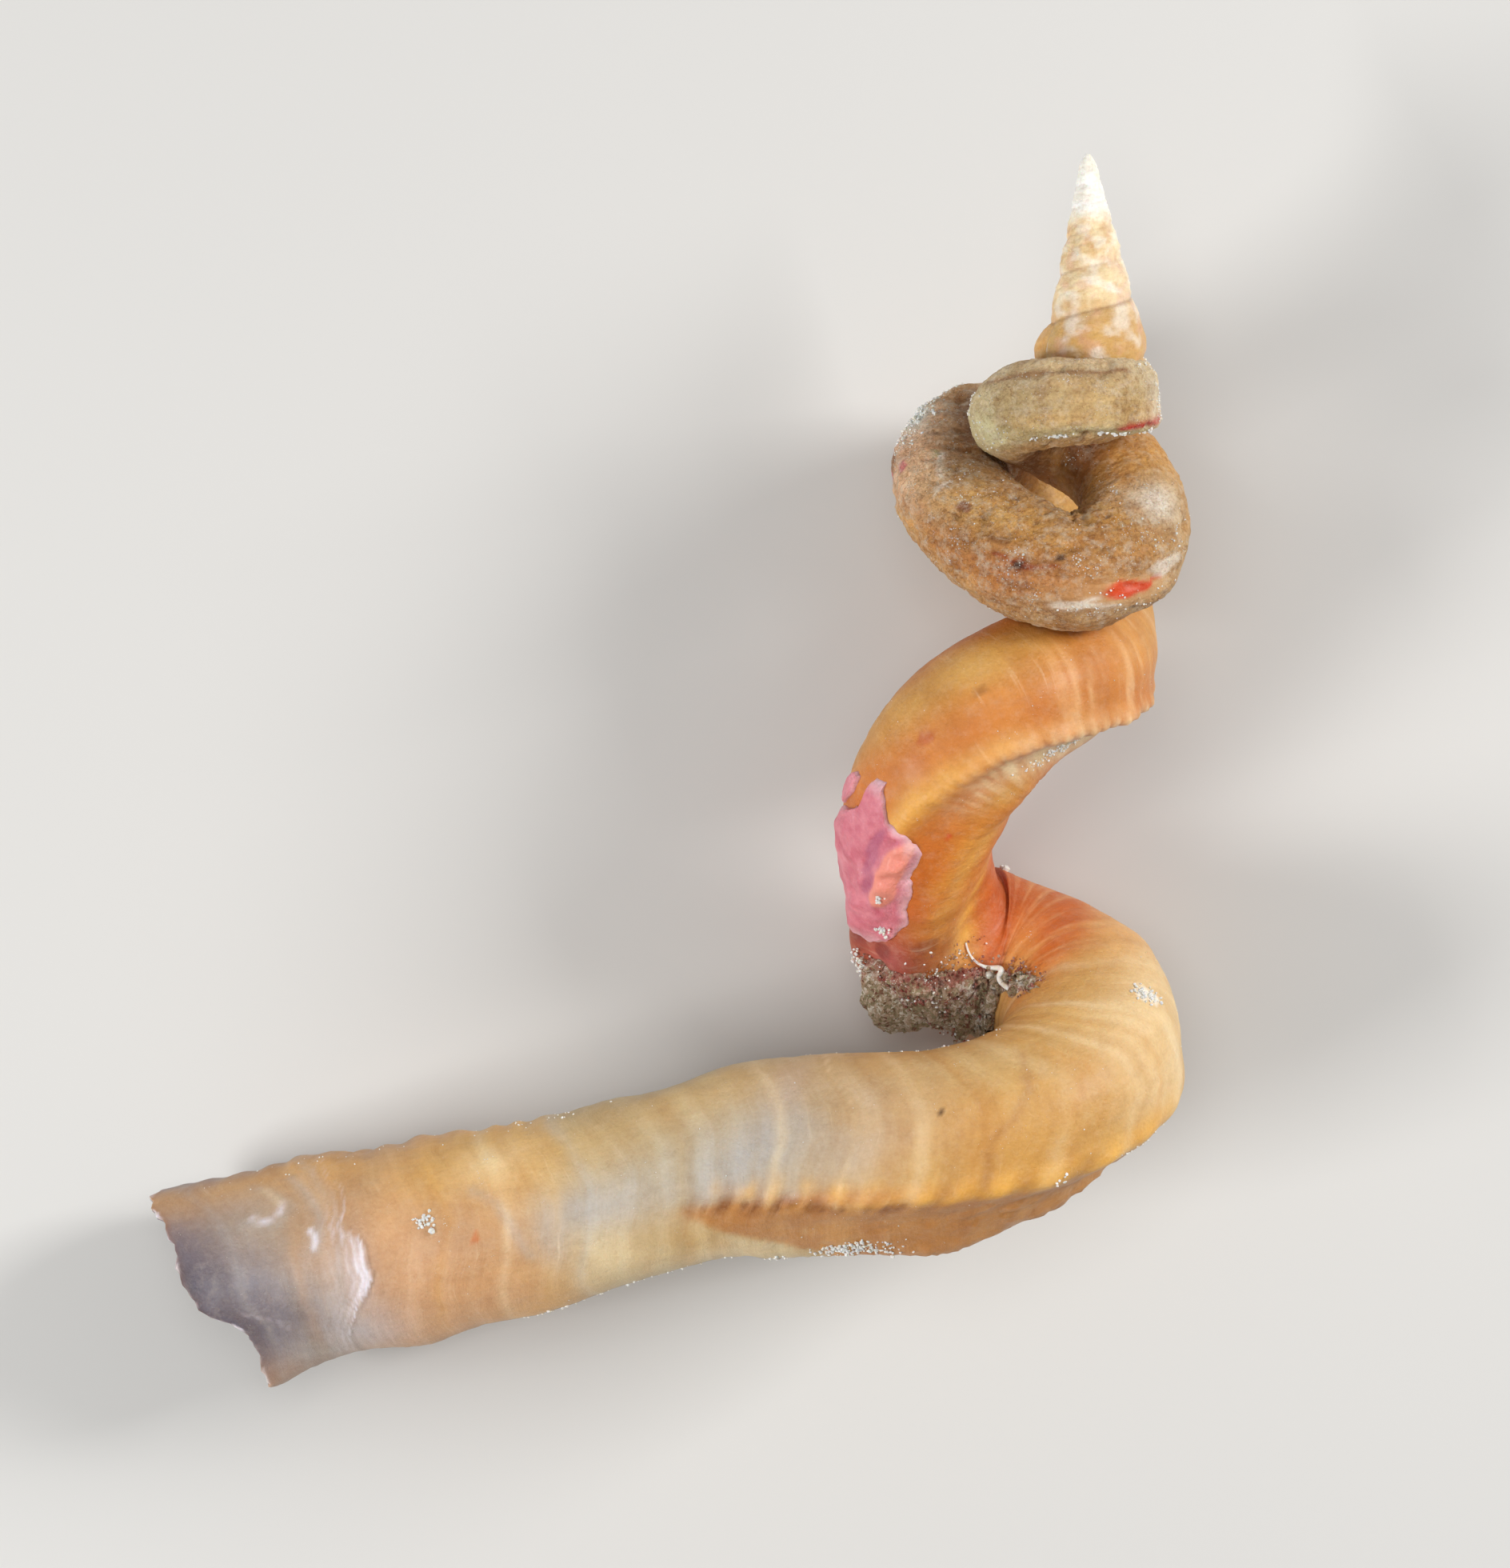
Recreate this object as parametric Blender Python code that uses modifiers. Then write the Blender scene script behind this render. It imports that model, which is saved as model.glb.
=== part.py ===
# Worm snail shell lying on its side. A tight pointed spire opens into loose coils, which run
# out as a long straight tube with a broken lip. +Y points to the tip of the spire, and +Z away
# from the surface that the shell lies on. Pink and grey crusts grow on the third coil.
import bpy
import bmesh
import math
import numpy as np
from mathutils import Vector, noise

MM = 0.001                       # the numbers below are millimetres and degrees

# The tube's middle line, from the spire down to the lip: x, y, z, radius, the way its outer
# face looks (0 is +X, 90 is +Z), and the heights of the shoulder keel and of the base keel
# as shares of the radius. It is an irregular coil, so its points are chosen one by one.
ROUTE = [
    (20.6, 21.6, 6.4, 1.20, 90, 0.03, 0.02),
    (19.4, 20.8, 4.9, 1.30, 180, 0.03, 0.02),
    (20.6, 20.0, 3.4, 1.50, 270, 0.03, 0.02),
    (22.6, 18.7, 5.5, 1.86, 365, 0.05, 0.04),
    (20.1, 18.2, 8.5, 2.08, 450, 0.05, 0.03),
    (17.1, 17.7, 6.1, 2.09, 540, 0.04, 0.02),
    (19.2, 16.8, 2.1, 2.15, 630, 0.03, 0.02),
    (22.3, 14.9, 2.6, 2.36, 708, 0.03, 0.02),
    (23.2, 12.0, 5.4, 2.80, 735, 0.03, 0.02),
    (20.5, 9.8, 7.4, 2.88, 800, 0.02, 0.01),
    (17.0, 11.0, 6.0, 2.90, 850, 0.02, 0.01),
    (14.3, 14.4, 1.0, 2.92, 905, 0.02, 0.01),
    (16.0, 16.5, -3.3, 2.96, 960, 0.02, 0.01),
    (17.6, 14.6, -5.6, 3.08, 985, 0.02, 0.01),
    (19.8, 10.6, -5.2, 3.16, 1025, 0.03, 0.02),
    (21.4, 6.9, -1.6, 3.17, 1070, 0.06, 0.00),
    (20.4, 4.9, 2.7, 3.42, 1125, 0.09, 0.00),
    (16.2, 3.1, 5.0, 3.76, 1175, 0.08, 0.03),
    (13.0, -0.8, 3.3, 3.85, 1220, 0.06, 0.02),
    (12.7, -5.0, -0.5, 3.88, 1265, 0.06, 0.04),
    (14.3, -8.8, -4.08, 4.15, 1310, 0.09, 0.05),
    (18.2, -10.0, -4.64, 4.30, 1350, 0.03, 0.02),
    (21.3, -12.8, -0.2, 4.48, 1440, 0.04, 0.00),
    (19.3, -16.2, 3.8, 4.44, 1495, 0.08, -0.02),
    (13.9, -18.1, 4.8, 4.67, 1525, 0.04, 0.13),
    (6.7, -18.8, 3.5, 4.76, 1530, 0.05, 0.06),
    (2.8, -19.3, 2.6, 4.65, 1530, 0.02, 0.02),
    (-2.8, -21.0, 1.4, 4.51, 1530, 0.00, 0.01),
    (-9.2, -22.7, -0.3, 4.72, 1530, 0.00, 0.00),
    (-17.3, -24.4, -2.75, 4.86, 1530, 0.00, 0.00),
    (-26.0, -26.2, -5.62, 4.97, 1530, 0.00, 0.00),
]
SOFTEN = 0.9                     # how far a bend in the route is spread out
FINE = 0.06                      # step along the route where it is worked out

# Places round the tube are angles from its outer face toward the base of the shell.
SHOULDER_KEEL = (38, 9)          # place and width of each keel
BASE_KEEL = (97, 9)
HOLLOW = (67, 13)                # the hollow between the two keels
HOLLOW_DEPTH = 0.5               # its depth as a share of the shoulder keel's height
SECTION = (-172, -152, -132, -112, -94, -76, -58, -40, -22, -6, 10, 22, 30, 38, 46, 56, 67,
           79, 89, 97, 105, 117, 131, 146, 160, 174)
# Bumps and dents of the tube: place along, angle, reach along, width round, height.
LUMPS = [
    (7.4, -40, 1.5, 26, 0.25), (8.0, 40, 1.2, 14, 0.50), (13.0, -74, 1.5, 16, 0.18),
    (23.3, -40, 1.2, 16, 0.30),
    (29.3, 50, 1.2, 15, 0.25), (33.4, 6, 0.7, 9, -0.15), (37.5, -34, 0.8, 10, -0.12),
    (39.5, 36, 2.0, 18, -0.22), (44.0, -40, 1.8, 20, 0.28), (47.5, -82, 1.2, 16, 0.35),
    (59.5, -22, 1.2, 15, 0.30), (68.5, -93, 1.2, 14, 0.25), (71.0, 94, 1.5, 12, 0.30),
    (74.0, 112, 1.6, 14, 0.50), (77.0, 140, 1.6, 16, 0.45), (89.0, -100, 1.6, 18, 0.50),
    (96.0, -50, 1.2, 14, 0.18), (100.4, 28, 1.5, 12, 0.40), (103.6, 62, 1.3, 10, -0.20),
    (106.2, 88, 0.9, 10, 0.25), (111.0, 95, 1.5, 10, 0.32), (110.0, -93, 2.2, 16, -0.20),
    (119.0, 91, 1.6, 12, 0.28), (123.2, -91, 1.4, 18, -0.42), (132.0, 87, 1.5, 14, 0.25),
    (136.0, -92, 1.3, 16, 0.20), (138.4, 88, 1.5, 16, 0.42), (139.0, -10, 0.6, 40, 0.16),
    (142.7, -92, 1.3, 16, 0.30), (141.5, -30, 0.8, 14, -0.12), (134.6, -14, 1.6, 18, -0.15),
    (84.0, 156, 1.6, 18, -0.35),
]
# Shallow beds that the crusts lie in.
BEDS = [(80.4, 22, 2.8, 30, -0.30), (83.6, 40, 1.8, 30, -0.25), (88.3, 98, 1.5, 36, -0.50)]
RING_STEP = 0.42                 # distance between rings as a share of the radius
TUBE_START = 0.5                 # the tube's first ring is inside the spire

WALL = 0.5
LIP_WALL = 0.3
WALL_GROWTH = 0.05               # growth of the wall for each millimetre in from the lip
BORE_DEPTH = 62                  # the tube is hollow this far in, up to an inner wall
BORE_STEP = 2.6
# Where the broken lip ends, along the tube, at each angle round it.
LIP = [(-180, 147.8), (-150, 148.3), (-120, 149.6), (-90, 150.8), (-62, 150.6), (-46, 149.6),
       (-21, 148.9), (2, 148.5), (18, 147.9), (30, 146.3), (46, 146.1), (68, 146.4),
       (87, 146.9), (110, 147.0), (150, 147.3), (180, 147.8)]
LIP_START = 146.1                # where the lip's outline starts, at its most broken place
LIP_CLEAR = 0.6                  # room between the last even ring and the lip
LIP_BLEND = 7                    # the rings lean over to the lip's outline along this length
LIP_FLARE = (1.0, 88, 20, 141, 5.5)     # height, angle, width, start and reach of its corner

# The spire: y and z of each turn's seam at its +X side, down from the tip.
SPIRE_TIP = (20.95, 30.55, 4.9)
SPIRE_FOOT = (21.35, 20.7, 5.8)
SEAMS = (30.15, 29.33, 28.30, 27.12, 25.42, 23.44, 20.5, 17.6)
TIP_RADIUS = 0.36
SPIRE_TAPER = 0.2125             # growth of the radius for each millimetre down
TIP_ROUNDING = 0.6               # length of the rounded tip
TIP_BLUNT = 0.12                 # and how far that rounding starts above it
TURN_SWELL = 0.085               # how far a turn swells between its seams, as a share
SWELL_LEAN = 0.85                # below 1, a turn is fullest near its upper seam
SWELL_FULL = 0.7                 # below 1, a turn's side is flatter
SPIRE_SIDES = 20
SPIRE_ROWS = 44
SPIRE_BUNCH = 1.08               # above 1, the rows are closer together near the tip
SPIRE_END = (21.3, 18.9)         # where the foot of the spire starts and ends its rounding
FOOT_ROUNDING = 0.97             # how much of a full rounding the foot has

REST_PLANE = -8.86               # the surface that the shell lies on, in the route's heights
REST_SIZE = 80
CENTRE = (0.08, -0.19)           # middle of the whole shell, in the route's x and y
SHARP_ANGLE = 35                 # an edge that bends more than this is shaded sharp

CRUST_GAP = 0.25
CRUST_GRAIN = 1.3                # bumps of a crust for each millimetre
# Rows of a crust across the tube: distance along and angle round, at its two edges.
PINK_ROWS = [(76.1, 0, 76.0, 6), (76.8, 0, 76.4, 14), (77.5, 4, 76.8, 22), (78.2, -6, 77.1, 32),
             (78.9, -14, 77.5, 48), (79.6, -14, 78.0, 62), (80.4, -11, 79.0, 68),
             (81.4, -3, 80.2, 72), (82.3, 9, 81.3, 76), (83.0, 22, 82.5, 80),
             (83.7, 35, 83.5, 78), (84.4, 47, 84.3, 64)]
PINK_LUMPS = [(79.2, 52, 1.1, 9, 0.35), (78.9, 0, 0.8, 12, 0.12)]
CHIP_ROWS = [(76.6, -22, 76.6, -18), (77.0, -27, 76.9, -16), (77.4, -28, 77.3, -14),
             (77.8, -26, 77.7, -15), (78.1, -22, 78.1, -17)]
GRIT_ROWS = [(86.3, 54, 87.5, 54), (85.6, 60, 88.2, 59), (85.4, 67, 88.5, 66),
             (85.5, 76, 88.7, 76), (85.6, 90, 88.9, 92), (85.9, 104, 89.2, 108),
             (86.4, 118, 89.6, 124), (86.8, 132, 90.0, 138), (87.3, 144, 90.2, 150)]
GRIT_LUMPS = [(87.5, 64, 0.7, 9, 0.30), (88.0, 90, 0.8, 10, 0.1), (87.6, 116, 0.9, 12, 0.2)]
WORM_PLACES = [(84.6, 137), (85.7, 145), (86.9, 154), (88.8, 166), (95.2, 192), (97.3, 207),
               (99.0, 220)]
WORM_RADIUS = 0.14
WORM_LIFT = 0.5


def naturalSpline(points, count):
    """Smooth curve through the points, as a natural cubic spline."""
    p = np.array(points, float)
    reach = np.linalg.norm(np.diff(p[:, :3], axis=0), axis=1) ** 0.75
    knots = np.concatenate([[0], np.cumsum(reach)])
    n = len(p)
    h = np.diff(knots)
    matrix = np.eye(n)
    right = np.zeros_like(p)
    for i in range(1, n - 1):
        matrix[i, i - 1:i + 2] = h[i - 1], 2 * (h[i - 1] + h[i]), h[i]
        right[i] = 6 * ((p[i + 1] - p[i]) / h[i] - (p[i] - p[i - 1]) / h[i - 1])
    bend = np.linalg.solve(matrix, right)
    u = np.linspace(0, knots[-1], count)
    k = np.clip(np.searchsorted(knots, u, side="right") - 1, 0, n - 2)
    before = (knots[k + 1] - u)[:, None]
    after = (u - knots[k])[:, None]
    span = h[k][:, None]
    curve = (bend[k] * before ** 3 + bend[k + 1] * after ** 3) / (6 * span)
    curve += (p[k] / span - bend[k] * span / 6) * before
    curve += (p[k + 1] / span - bend[k + 1] * span / 6) * after
    return curve


def evenSteps(curve, step):
    """The same curve with evenly spaced rows, and the distance along it at each row."""
    reach = np.linalg.norm(np.diff(curve[:, :3], axis=0), axis=1)
    along = np.concatenate([[0], np.cumsum(reach)])
    even = np.linspace(0, along[-1], int(round(along[-1] / step)) + 1)
    return np.stack([np.interp(even, along, column) for column in curve.T], 1), even


def soften(curve, step, spread):
    """Spreads each bend out, by a running average with a bell-shaped weight."""
    n = int(4 * spread / step)
    weight = np.exp(-0.5 * (np.arange(-n, n + 1) * step / spread) ** 2)
    weight /= weight.sum()
    head = 2 * curve[:1] - curve[n:0:-1]
    tail = 2 * curve[-1:] - curve[-2:-n - 2:-1]
    longer = np.vstack([head, curve, tail])
    return np.stack([np.convolve(column, weight, "valid") for column in longer.T], 1)


def makeTube():
    """Middle line, radius, keels and the outward and baseward directions along the tube."""
    curve, along = evenSteps(naturalSpline(ROUTE, 6000), FINE)
    curve, along = evenSteps(soften(curve, FINE, SOFTEN), FINE)
    middle = curve[:, :3]
    growth = np.gradient(middle, axis=0)
    growth /= np.linalg.norm(growth, axis=1)[:, None]
    look = np.radians(curve[:, 4])
    outward = np.stack([np.cos(look), 0 * look, np.sin(look)], 1)
    outward -= (outward * growth).sum(1)[:, None] * growth
    outward /= np.linalg.norm(outward, axis=1)[:, None]
    baseward = np.cross(outward, growth)
    columns = np.hstack([middle, outward, baseward, curve[:, [3, 5, 6]]])
    return along, columns


ALONG, COLUMNS = makeTube()


def bell(angle, place, width):
    off = (angle - place + 180) % 360 - 180
    return math.exp(-0.5 * (off / width) ** 2)


def swell(along, angle, lumps):
    """Height that a list of lumps adds at one place on the tube."""
    total = 0.0
    for place, side, reach, width, height in lumps:
        total += height * math.exp(-0.5 * ((along - place) / reach) ** 2) * bell(angle, side, width)
    return total


def tubePoint(along, angle, lift=0.0, plain=False):
    """Point on the tube's outer face, lifted off it. A plain tube has no keels."""
    row = [float(np.interp(along, ALONG, column)) for column in COLUMNS.T]
    middle, outward, baseward = Vector(row[0:3]), Vector(row[3:6]), Vector(row[6:9])
    radius, shoulder, base = row[9:12]
    if not plain:
        shape = 1 + shoulder * bell(angle, *SHOULDER_KEEL) + base * bell(angle, *BASE_KEEL)
        shape -= HOLLOW_DEPTH * shoulder * bell(angle, *HOLLOW)
        radius *= shape
        height, place, width, start, reach = LIP_FLARE
        near = min(max((along - start) / reach, 0), 1)
        radius += height * near ** 2 * bell(angle, place, width)
    radius += swell(along, angle, LUMPS + BEDS)
    turn = math.radians(angle)
    return middle + (radius + lift) * (math.cos(turn) * outward + math.sin(turn) * baseward)


def lipEnd(angle):
    places, ends = zip(*LIP)
    return float(np.interp(angle, places, ends))


def towardLip(along, angle):
    """Moves a ring's point along the tube, more and more, to follow the lip's outline."""
    share = min(max((along - LIP_START + LIP_BLEND) / LIP_BLEND, 0), 1)
    return along + share * (lipEnd(angle) - LIP_START)


def newObject(name, mesh, collection, material=None):
    thing = bpy.data.objects.new(name, mesh)
    collection.objects.link(thing)
    if material:
        mesh.materials.append(material)
    return thing


def loftRings(name, rings):
    """Closed solid through a row of rings with the same number of points, capped at its ends."""
    shape = bmesh.new()
    rows = [[shape.verts.new(point * MM) for point in ring] for ring in rings]
    sides = len(rows[0])
    for near, far in zip(rows, rows[1:]):
        for i in range(sides):
            j = (i + 1) % sides
            shape.faces.new((near[i], near[j], far[j], far[i]))
    shape.faces.new(list(reversed(rows[0])))
    shape.faces.new(rows[-1])
    bmesh.ops.recalc_face_normals(shape, faces=shape.faces)
    bmesh.ops.triangulate(shape, faces=shape.faces)
    mesh = bpy.data.meshes.new(name)
    shape.to_mesh(mesh)
    shape.free()
    return mesh


def tubeRings():
    """Rings down the outside, over the lip, and back up the bore to its inner wall."""
    rings = []
    along = TUBE_START
    while along < LIP_START - LIP_CLEAR:
        rings.append([tubePoint(towardLip(along, a), a) for a in SECTION])
        along += RING_STEP * float(np.interp(along, ALONG, COLUMNS[:, 9]))
    rings.append([tubePoint(towardLip(LIP_START, a), a) for a in SECTION])
    rings.append([tubePoint(towardLip(LIP_START, a), a, -LIP_WALL) for a in SECTION])
    depth = 0
    while depth < BORE_DEPTH:
        depth += BORE_STEP
        thick = min(WALL, LIP_WALL + WALL_GROWTH * depth)
        inner = LIP_START - depth
        rings.append([tubePoint(towardLip(inner, a), a, -thick, depth > LIP_BLEND)
                      for a in SECTION])
    return rings


def spireRings():
    """Rings down the spire. Each turn swells between its seams, which run round as a helix."""
    rings = []
    tip, foot = Vector(SPIRE_TIP), Vector(SPIRE_FOOT)
    for row in range(SPIRE_ROWS + 1):
        share = row / SPIRE_ROWS
        y = tip.y + (SPIRE_END[1] - tip.y) * share ** SPIRE_BUNCH
        axis = tip.lerp(foot, (tip.y - y) / (tip.y - foot.y))
        cone = TIP_RADIUS + SPIRE_TAPER * (SEAMS[0] - y)
        cone *= math.sqrt(min(1, (tip.y + TIP_BLUNT - y) / TIP_ROUNDING))
        rounding = max((SPIRE_END[0] - y) / (SPIRE_END[0] - SPIRE_END[1]), 0) * FOOT_ROUNDING
        cone *= math.sqrt(1 - rounding ** 2)
        ring = []
        for side in range(SPIRE_SIDES):
            turn = side / SPIRE_SIDES
            seam = float(np.interp(-y, [-s for s in SEAMS], range(len(SEAMS))))
            phase = (seam - turn) % 1
            full = math.sin(math.pi * phase ** SWELL_LEAN) ** SWELL_FULL
            radius = cone * (1 + TURN_SWELL * full)
            angle = 2 * math.pi * turn
            ring.append(Vector((axis.x + radius * math.cos(angle), y,
                                axis.z + radius * math.sin(angle))))
        rings.append(ring)
    return rings


def crustMesh(name, rows, lumps, columns, roughness, seed):
    """Open sheet over the tube, with lumps. A Solidify modifier gives it its thickness."""
    shape = bmesh.new()
    grid = []
    for near, angle, far, otherAngle in rows:
        line = []
        for i in range(columns + 1):
            share = i / columns
            s = near + (far - near) * share
            a = angle + (otherAngle - angle) * share
            grain = noise.noise(tubePoint(s, a) * CRUST_GRAIN + Vector((seed, 0, 0)))
            lift = CRUST_GAP + swell(s, a, lumps) + roughness * abs(grain)
            line.append(shape.verts.new(tubePoint(s, a, lift) * MM))
        grid.append(line)
    for near, far in zip(grid, grid[1:]):
        for i in range(columns):
            shape.faces.new((near[i], near[i + 1], far[i + 1], far[i]))
    shape.normal_update()
    s, a = rows[len(rows) // 2][:2]
    foot = tubePoint(s, a)
    out = tubePoint(s, a, 1) - foot
    nearest = min(shape.faces, key=lambda face: (face.calc_center_median() - foot * MM).length)
    if nearest.normal.dot(out) < 0:
        bmesh.ops.reverse_faces(shape, faces=shape.faces)
    mesh = bpy.data.meshes.new(name)
    shape.to_mesh(mesh)
    shape.free()
    return mesh


def makeMaterial(name, colour, roughness):
    material = bpy.data.materials.new(name)
    material.use_nodes = True
    shader = material.node_tree.nodes["Principled BSDF"]
    shader.inputs["Base Color"].default_value = (*colour, 1)
    shader.inputs["Roughness"].default_value = roughness
    shader.inputs["Metallic"].default_value = 0
    return material


def makeCollection(name):
    collection = bpy.data.collections.new(name)
    bpy.context.scene.collection.children.link(collection)
    return collection


def addBoolean(thing, operation, tool):
    change = thing.modifiers.new(tool.name, "BOOLEAN")
    change.operation = operation
    change.object = tool
    change.solver = "EXACT"


def asGuide(thing):
    thing.hide_render = True
    thing.display_type = "WIRE"
    return thing


def smooth(thing):
    mesh = thing.data
    mesh.shade_smooth()
    mesh.set_sharp_from_angle(angle=math.radians(SHARP_ANGLE))


def addCrust(name, rows, lumps, columns, roughness, seed, thickness, material):
    mesh = crustMesh(name, rows, lumps, columns, roughness, seed)
    crust = newObject(name, mesh, parts, material)
    shell = crust.modifiers.new("thickness", "SOLIDIFY")
    shell.thickness = thickness * MM
    shell.offset = 1
    smooth(crust)


for old in list(bpy.data.objects):
    bpy.data.objects.remove(old, do_unlink=True)

parts = makeCollection("worm_snail_shell")
cutters = makeCollection("cutters")

shellLook = makeMaterial("shell", (0.78, 0.52, 0.24), 0.35)
pinkLook = makeMaterial("pink_algae_crust", (0.80, 0.36, 0.42), 0.5)
gritLook = makeMaterial("grit_crust", (0.42, 0.38, 0.30), 0.85)
wormLook = makeMaterial("worm_tube", (0.82, 0.78, 0.68), 0.5)

# The shell: the tube, grown together with the spire, with flats worn where it lies.
shell = newObject("shell", loftRings("shell", tubeRings()), parts, shellLook)
spire = asGuide(newObject("spire", loftRings("spire", spireRings()), cutters))
addBoolean(shell, "UNION", spire)

restMiddle = (0, 0, (REST_PLANE - REST_SIZE / 2) * MM)
bpy.ops.mesh.primitive_cube_add(size=REST_SIZE * MM, location=restMiddle)
restSurface = asGuide(bpy.context.object)
restSurface.name = "rest_surface"
for holder in list(restSurface.users_collection):
    holder.objects.unlink(restSurface)
cutters.objects.link(restSurface)
addBoolean(shell, "DIFFERENCE", restSurface)
smooth(shell)

# The crusts: a main pink sheet, a chip of the same beside it, and grey grit below them.
addCrust("pink_algae_crust", PINK_ROWS, PINK_LUMPS, columns=9, roughness=0.1, seed=3,
         thickness=0.3, material=pinkLook)
addCrust("pink_algae_chip", CHIP_ROWS, [], columns=2, roughness=0.1, seed=5,
         thickness=0.28, material=pinkLook)
addCrust("grit_crust", GRIT_ROWS, GRIT_LUMPS, columns=6, roughness=0.35, seed=7,
         thickness=0.4, material=gritLook)

# A small worm's limy tube, lying over the grit between two coils.
curve = bpy.data.curves.new("worm_tube", "CURVE")
curve.dimensions = "3D"
line = curve.splines.new("POLY")
line.points.add(len(WORM_PLACES) - 1)
for point, (s, a) in zip(line.points, WORM_PLACES):
    point.co = (*(tubePoint(s, a, WORM_LIFT) * MM), 1)
curve.bevel_depth = WORM_RADIUS * MM
curve.bevel_resolution = 2
curve.use_fill_caps = True
curve.materials.append(wormLook)
wormTube = bpy.data.objects.new("worm_tube", curve)
parts.objects.link(wormTube)

# The origin is the middle of the shell's footprint, on the surface that it lies on.
shift = Vector((-CENTRE[0], -CENTRE[1], -REST_PLANE)) * MM
for thing in list(parts.objects) + list(cutters.objects):
    thing.location += shift
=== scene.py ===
import bpy
import bmesh
import math
import numpy as np
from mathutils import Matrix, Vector, noise


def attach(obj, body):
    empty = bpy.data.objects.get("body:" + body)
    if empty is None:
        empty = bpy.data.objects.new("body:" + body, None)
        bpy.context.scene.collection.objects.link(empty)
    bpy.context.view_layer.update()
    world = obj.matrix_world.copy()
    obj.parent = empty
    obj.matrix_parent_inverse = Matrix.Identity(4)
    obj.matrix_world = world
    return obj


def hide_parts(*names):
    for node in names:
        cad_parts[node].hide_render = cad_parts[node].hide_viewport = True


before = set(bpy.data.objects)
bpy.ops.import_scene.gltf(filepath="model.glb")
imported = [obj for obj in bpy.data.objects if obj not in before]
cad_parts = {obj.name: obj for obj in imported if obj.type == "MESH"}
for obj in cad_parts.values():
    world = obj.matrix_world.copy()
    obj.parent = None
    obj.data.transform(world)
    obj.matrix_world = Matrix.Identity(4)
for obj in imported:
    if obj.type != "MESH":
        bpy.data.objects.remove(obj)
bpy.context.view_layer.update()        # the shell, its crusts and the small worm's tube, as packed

mm = 0.001

# The camera looks straight down on the shell. Its place is in millimetres.
cameraSettings = {"place": (4.44, -0.37, 443.86), "lens": 200, "film": 36, "near": 0.02, "far": 5}

camera = bpy.data.objects.new("camera", bpy.data.cameras.new("camera"))
bpy.context.scene.collection.objects.link(camera)
bpy.context.scene.camera = camera
camera.location = Vector(cameraSettings["place"]) * mm
camera.data.lens = cameraSettings["lens"]
camera.data.sensor_fit = "VERTICAL"
camera.data.sensor_height = cameraSettings["film"]
camera.data.clip_start = cameraSettings["near"]
camera.data.clip_end = cameraSettings["far"]
bpy.context.scene.view_settings.view_transform = "Standard"


def srgb(red, green, blue):
    parts = [value / 255 for value in (red, green, blue)]
    return tuple(p / 12.92 if p <= 0.04045 else ((p + 0.055) / 1.055) ** 2.4 for p in parts)


def rgba(*colour):
    return (*srgb(*colour), 1)


# Floor and lights
stageSettings = {
    "floor": (206, 204, 200), "floorSize": 900, "floorRoughness": 0.8,
    "sky": (240, 243, 248), "skyStrength": 0.26,
    "lamps": [      # name, place, size and watts
        ("leftLamp", (-280, -120, 220), 120, 1.05),
        ("rightLamp", (290, 110, 200), 120, 1.05),
        ("topLamp", (-30, 40, 480), 200, 0.44),
    ],
}
bpy.ops.object.select_all(action="DESELECT")
bpy.ops.mesh.primitive_plane_add(size=stageSettings["floorSize"] * mm)
floor = bpy.context.object
floor.name = "floor"
floorLook = bpy.data.materials.new("floor")
floorLook.use_nodes = True
floorShader = floorLook.node_tree.nodes["Principled BSDF"]
floorShader.inputs["Base Color"].default_value = rgba(*stageSettings["floor"])
floorShader.inputs["Roughness"].default_value = stageSettings["floorRoughness"]
floor.data.materials.append(floorLook)
for lampName, place, size, watts in stageSettings["lamps"]:
    lamp = bpy.data.objects.new(lampName, bpy.data.lights.new(lampName, "AREA"))
    bpy.context.scene.collection.objects.link(lamp)
    lamp.data.size = size * mm
    lamp.data.energy = watts
    lamp.location = Vector(place) * mm
    lamp.rotation_euler = (-Vector(place)).to_track_quat("-Z", "Y").to_euler()
sky = bpy.data.worlds.new("sky")
bpy.context.scene.world = sky
sky.use_nodes = True
background = sky.node_tree.nodes["Background"]
background.inputs["Color"].default_value = rgba(*stageSettings["sky"])
background.inputs["Strength"].default_value = stageSettings["skyStrength"]
print("stage ready")

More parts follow.
